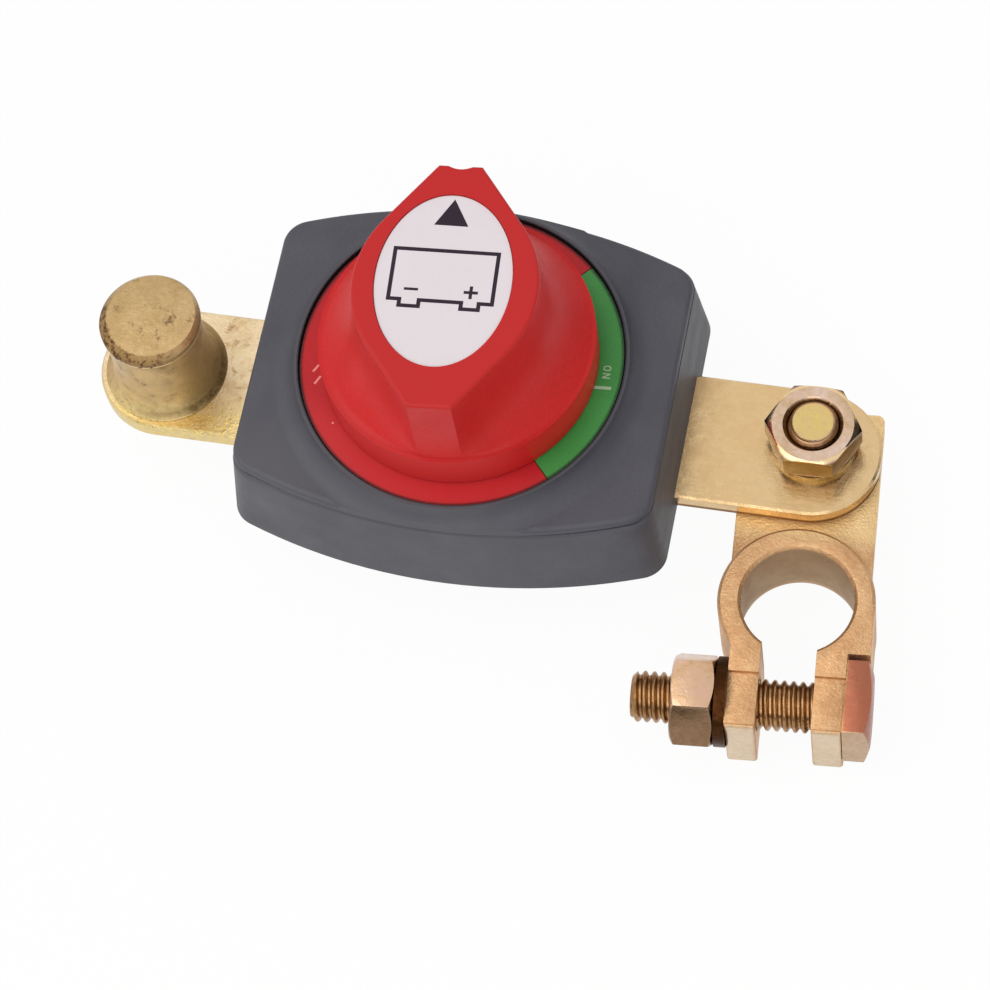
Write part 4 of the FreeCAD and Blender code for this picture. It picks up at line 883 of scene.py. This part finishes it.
def glowing_floor():
    """A matt floor that the camera sees as nearly white, with the object's shadow on it."""
    material = plain("pale_floor", (0.9, 0.9, 0.9, 1))
    tree = material.node_tree
    matte = tree.nodes["Principled BSDF"]
    matte.inputs["Roughness"].default_value = 0.9
    matte.inputs["Specular IOR Level"].default_value = 0.0
    glow = tree.nodes.new("ShaderNodeEmission")
    glow.inputs["Strength"].default_value = 1.0
    share = tree.nodes.new("ShaderNodeMath")
    share.operation = "MULTIPLY"
    share.inputs[1].default_value = FLOOR_GLOW
    blend = tree.nodes.new("ShaderNodeMixShader")
    tree.links.new(seen(tree), share.inputs[0])
    tree.links.new(share.outputs[0], blend.inputs[0])
    tree.links.new(matte.outputs[0], blend.inputs[1])
    tree.links.new(glow.outputs[0], blend.inputs[2])
    tree.links.new(blend.outputs[0], tree.nodes["Material Output"].inputs["Surface"])
    return material


def facing_aim(place):
    """The turn that makes a lamp or a card at a place face the object."""
    return (Vector(place) - AIM).to_track_quat("Z", "Y").to_euler()


def lamp(name, place, size, power, colour=(1, 1, 1)):
    """A square lamp that shines at the object."""
    light = bpy.data.lights.new(name, "AREA")
    light.shape = "RECTANGLE"
    light.size = light.size_y = size
    light.energy = power
    light.color = colour
    holder = bpy.data.objects.new(name, light)
    holder.location = place
    holder.rotation_euler = facing_aim(place)
    bpy.context.scene.collection.objects.link(holder)


def card(name, place, width, height):
    """A dark card beside the object, which only reflections see."""
    fresh()
    bpy.ops.mesh.primitive_plane_add(size=1, location=place)
    piece = bpy.context.object
    piece.scale = (width, height, 1)
    piece.rotation_euler = facing_aim(place)
    settle(piece)
    piece.name = name
    piece.data.materials.append(card_black)
    piece.visible_camera = piece.visible_shadow = piece.visible_diffuse = False


fresh()
bpy.ops.mesh.primitive_plane_add(size=FLOOR_SIZE, location=(0, 0, solid_box[0].z))
floor = settle(bpy.context.object)
floor.name = "floor"
floor.data.materials.append(glowing_floor())

world = bpy.data.worlds.new("studio")
bpy.context.scene.world = world
world.use_nodes = True
sky = world.node_tree.nodes["Background"]
sky.inputs["Color"].default_value = (1, 1, 1, 1)
level = world.node_tree.nodes.new("ShaderNodeMapRange")
level.inputs["To Min"].default_value = WORLD_LIGHT
level.inputs["To Max"].default_value = WORLD_SEEN
world.node_tree.links.new(seen(world.node_tree), level.inputs["Value"])
world.node_tree.links.new(level.outputs[0], sky.inputs["Strength"])

lamp("key_window", (-0.45, -0.25, 1.05), size=1.0, power=5.2, colour=(1.0, 0.99, 0.97))
lamp("front_fill", (0.15, -0.95, 0.75), size=0.7, power=2.0)
card_black = plain("card_black", (0.02, 0.02, 0.02, 1))
card("card_right", (0.60, 0.25, 0.35), width=0.6, height=0.6)
card("card_front", (0.0, -0.85, 0.07), width=1.6, height=0.36)

# Camera, fitted to the photograph

AZIMUTH, ELEVATION, ROLL = (math.radians(degrees) for degrees in (22.61, 63.89, -12.79))
CAMERA_DISTANCE = 593.7
FOCAL_PIXELS, PHOTO_PIXELS = 3836.6, 990
SENSOR_WIDTH = 36

back = Vector((math.sin(AZIMUTH) * math.cos(ELEVATION), -math.cos(AZIMUTH) * math.cos(ELEVATION),
               math.sin(ELEVATION)))
level_right = Vector((math.cos(AZIMUTH), math.sin(AZIMUTH), 0))
level_up = back.cross(level_right)
right = math.cos(ROLL) * level_right + math.sin(ROLL) * level_up
up = -math.sin(ROLL) * level_right + math.cos(ROLL) * level_up
lens = bpy.data.cameras.new("camera")
lens.sensor_width = SENSOR_WIDTH
lens.lens = SENSOR_WIDTH * FOCAL_PIXELS / PHOTO_PIXELS
lens.clip_start, lens.clip_end = 0.05, 20
camera = bpy.data.objects.new("camera", lens)
camera.matrix_world = (Matrix.Translation(AIM + back * CAMERA_DISTANCE * mm)
                       @ Matrix((right, up, back)).transposed().to_4x4())
bpy.context.scene.collection.objects.link(camera)
bpy.context.scene.camera = camera
bpy.context.scene.view_settings.view_transform = "Standard"
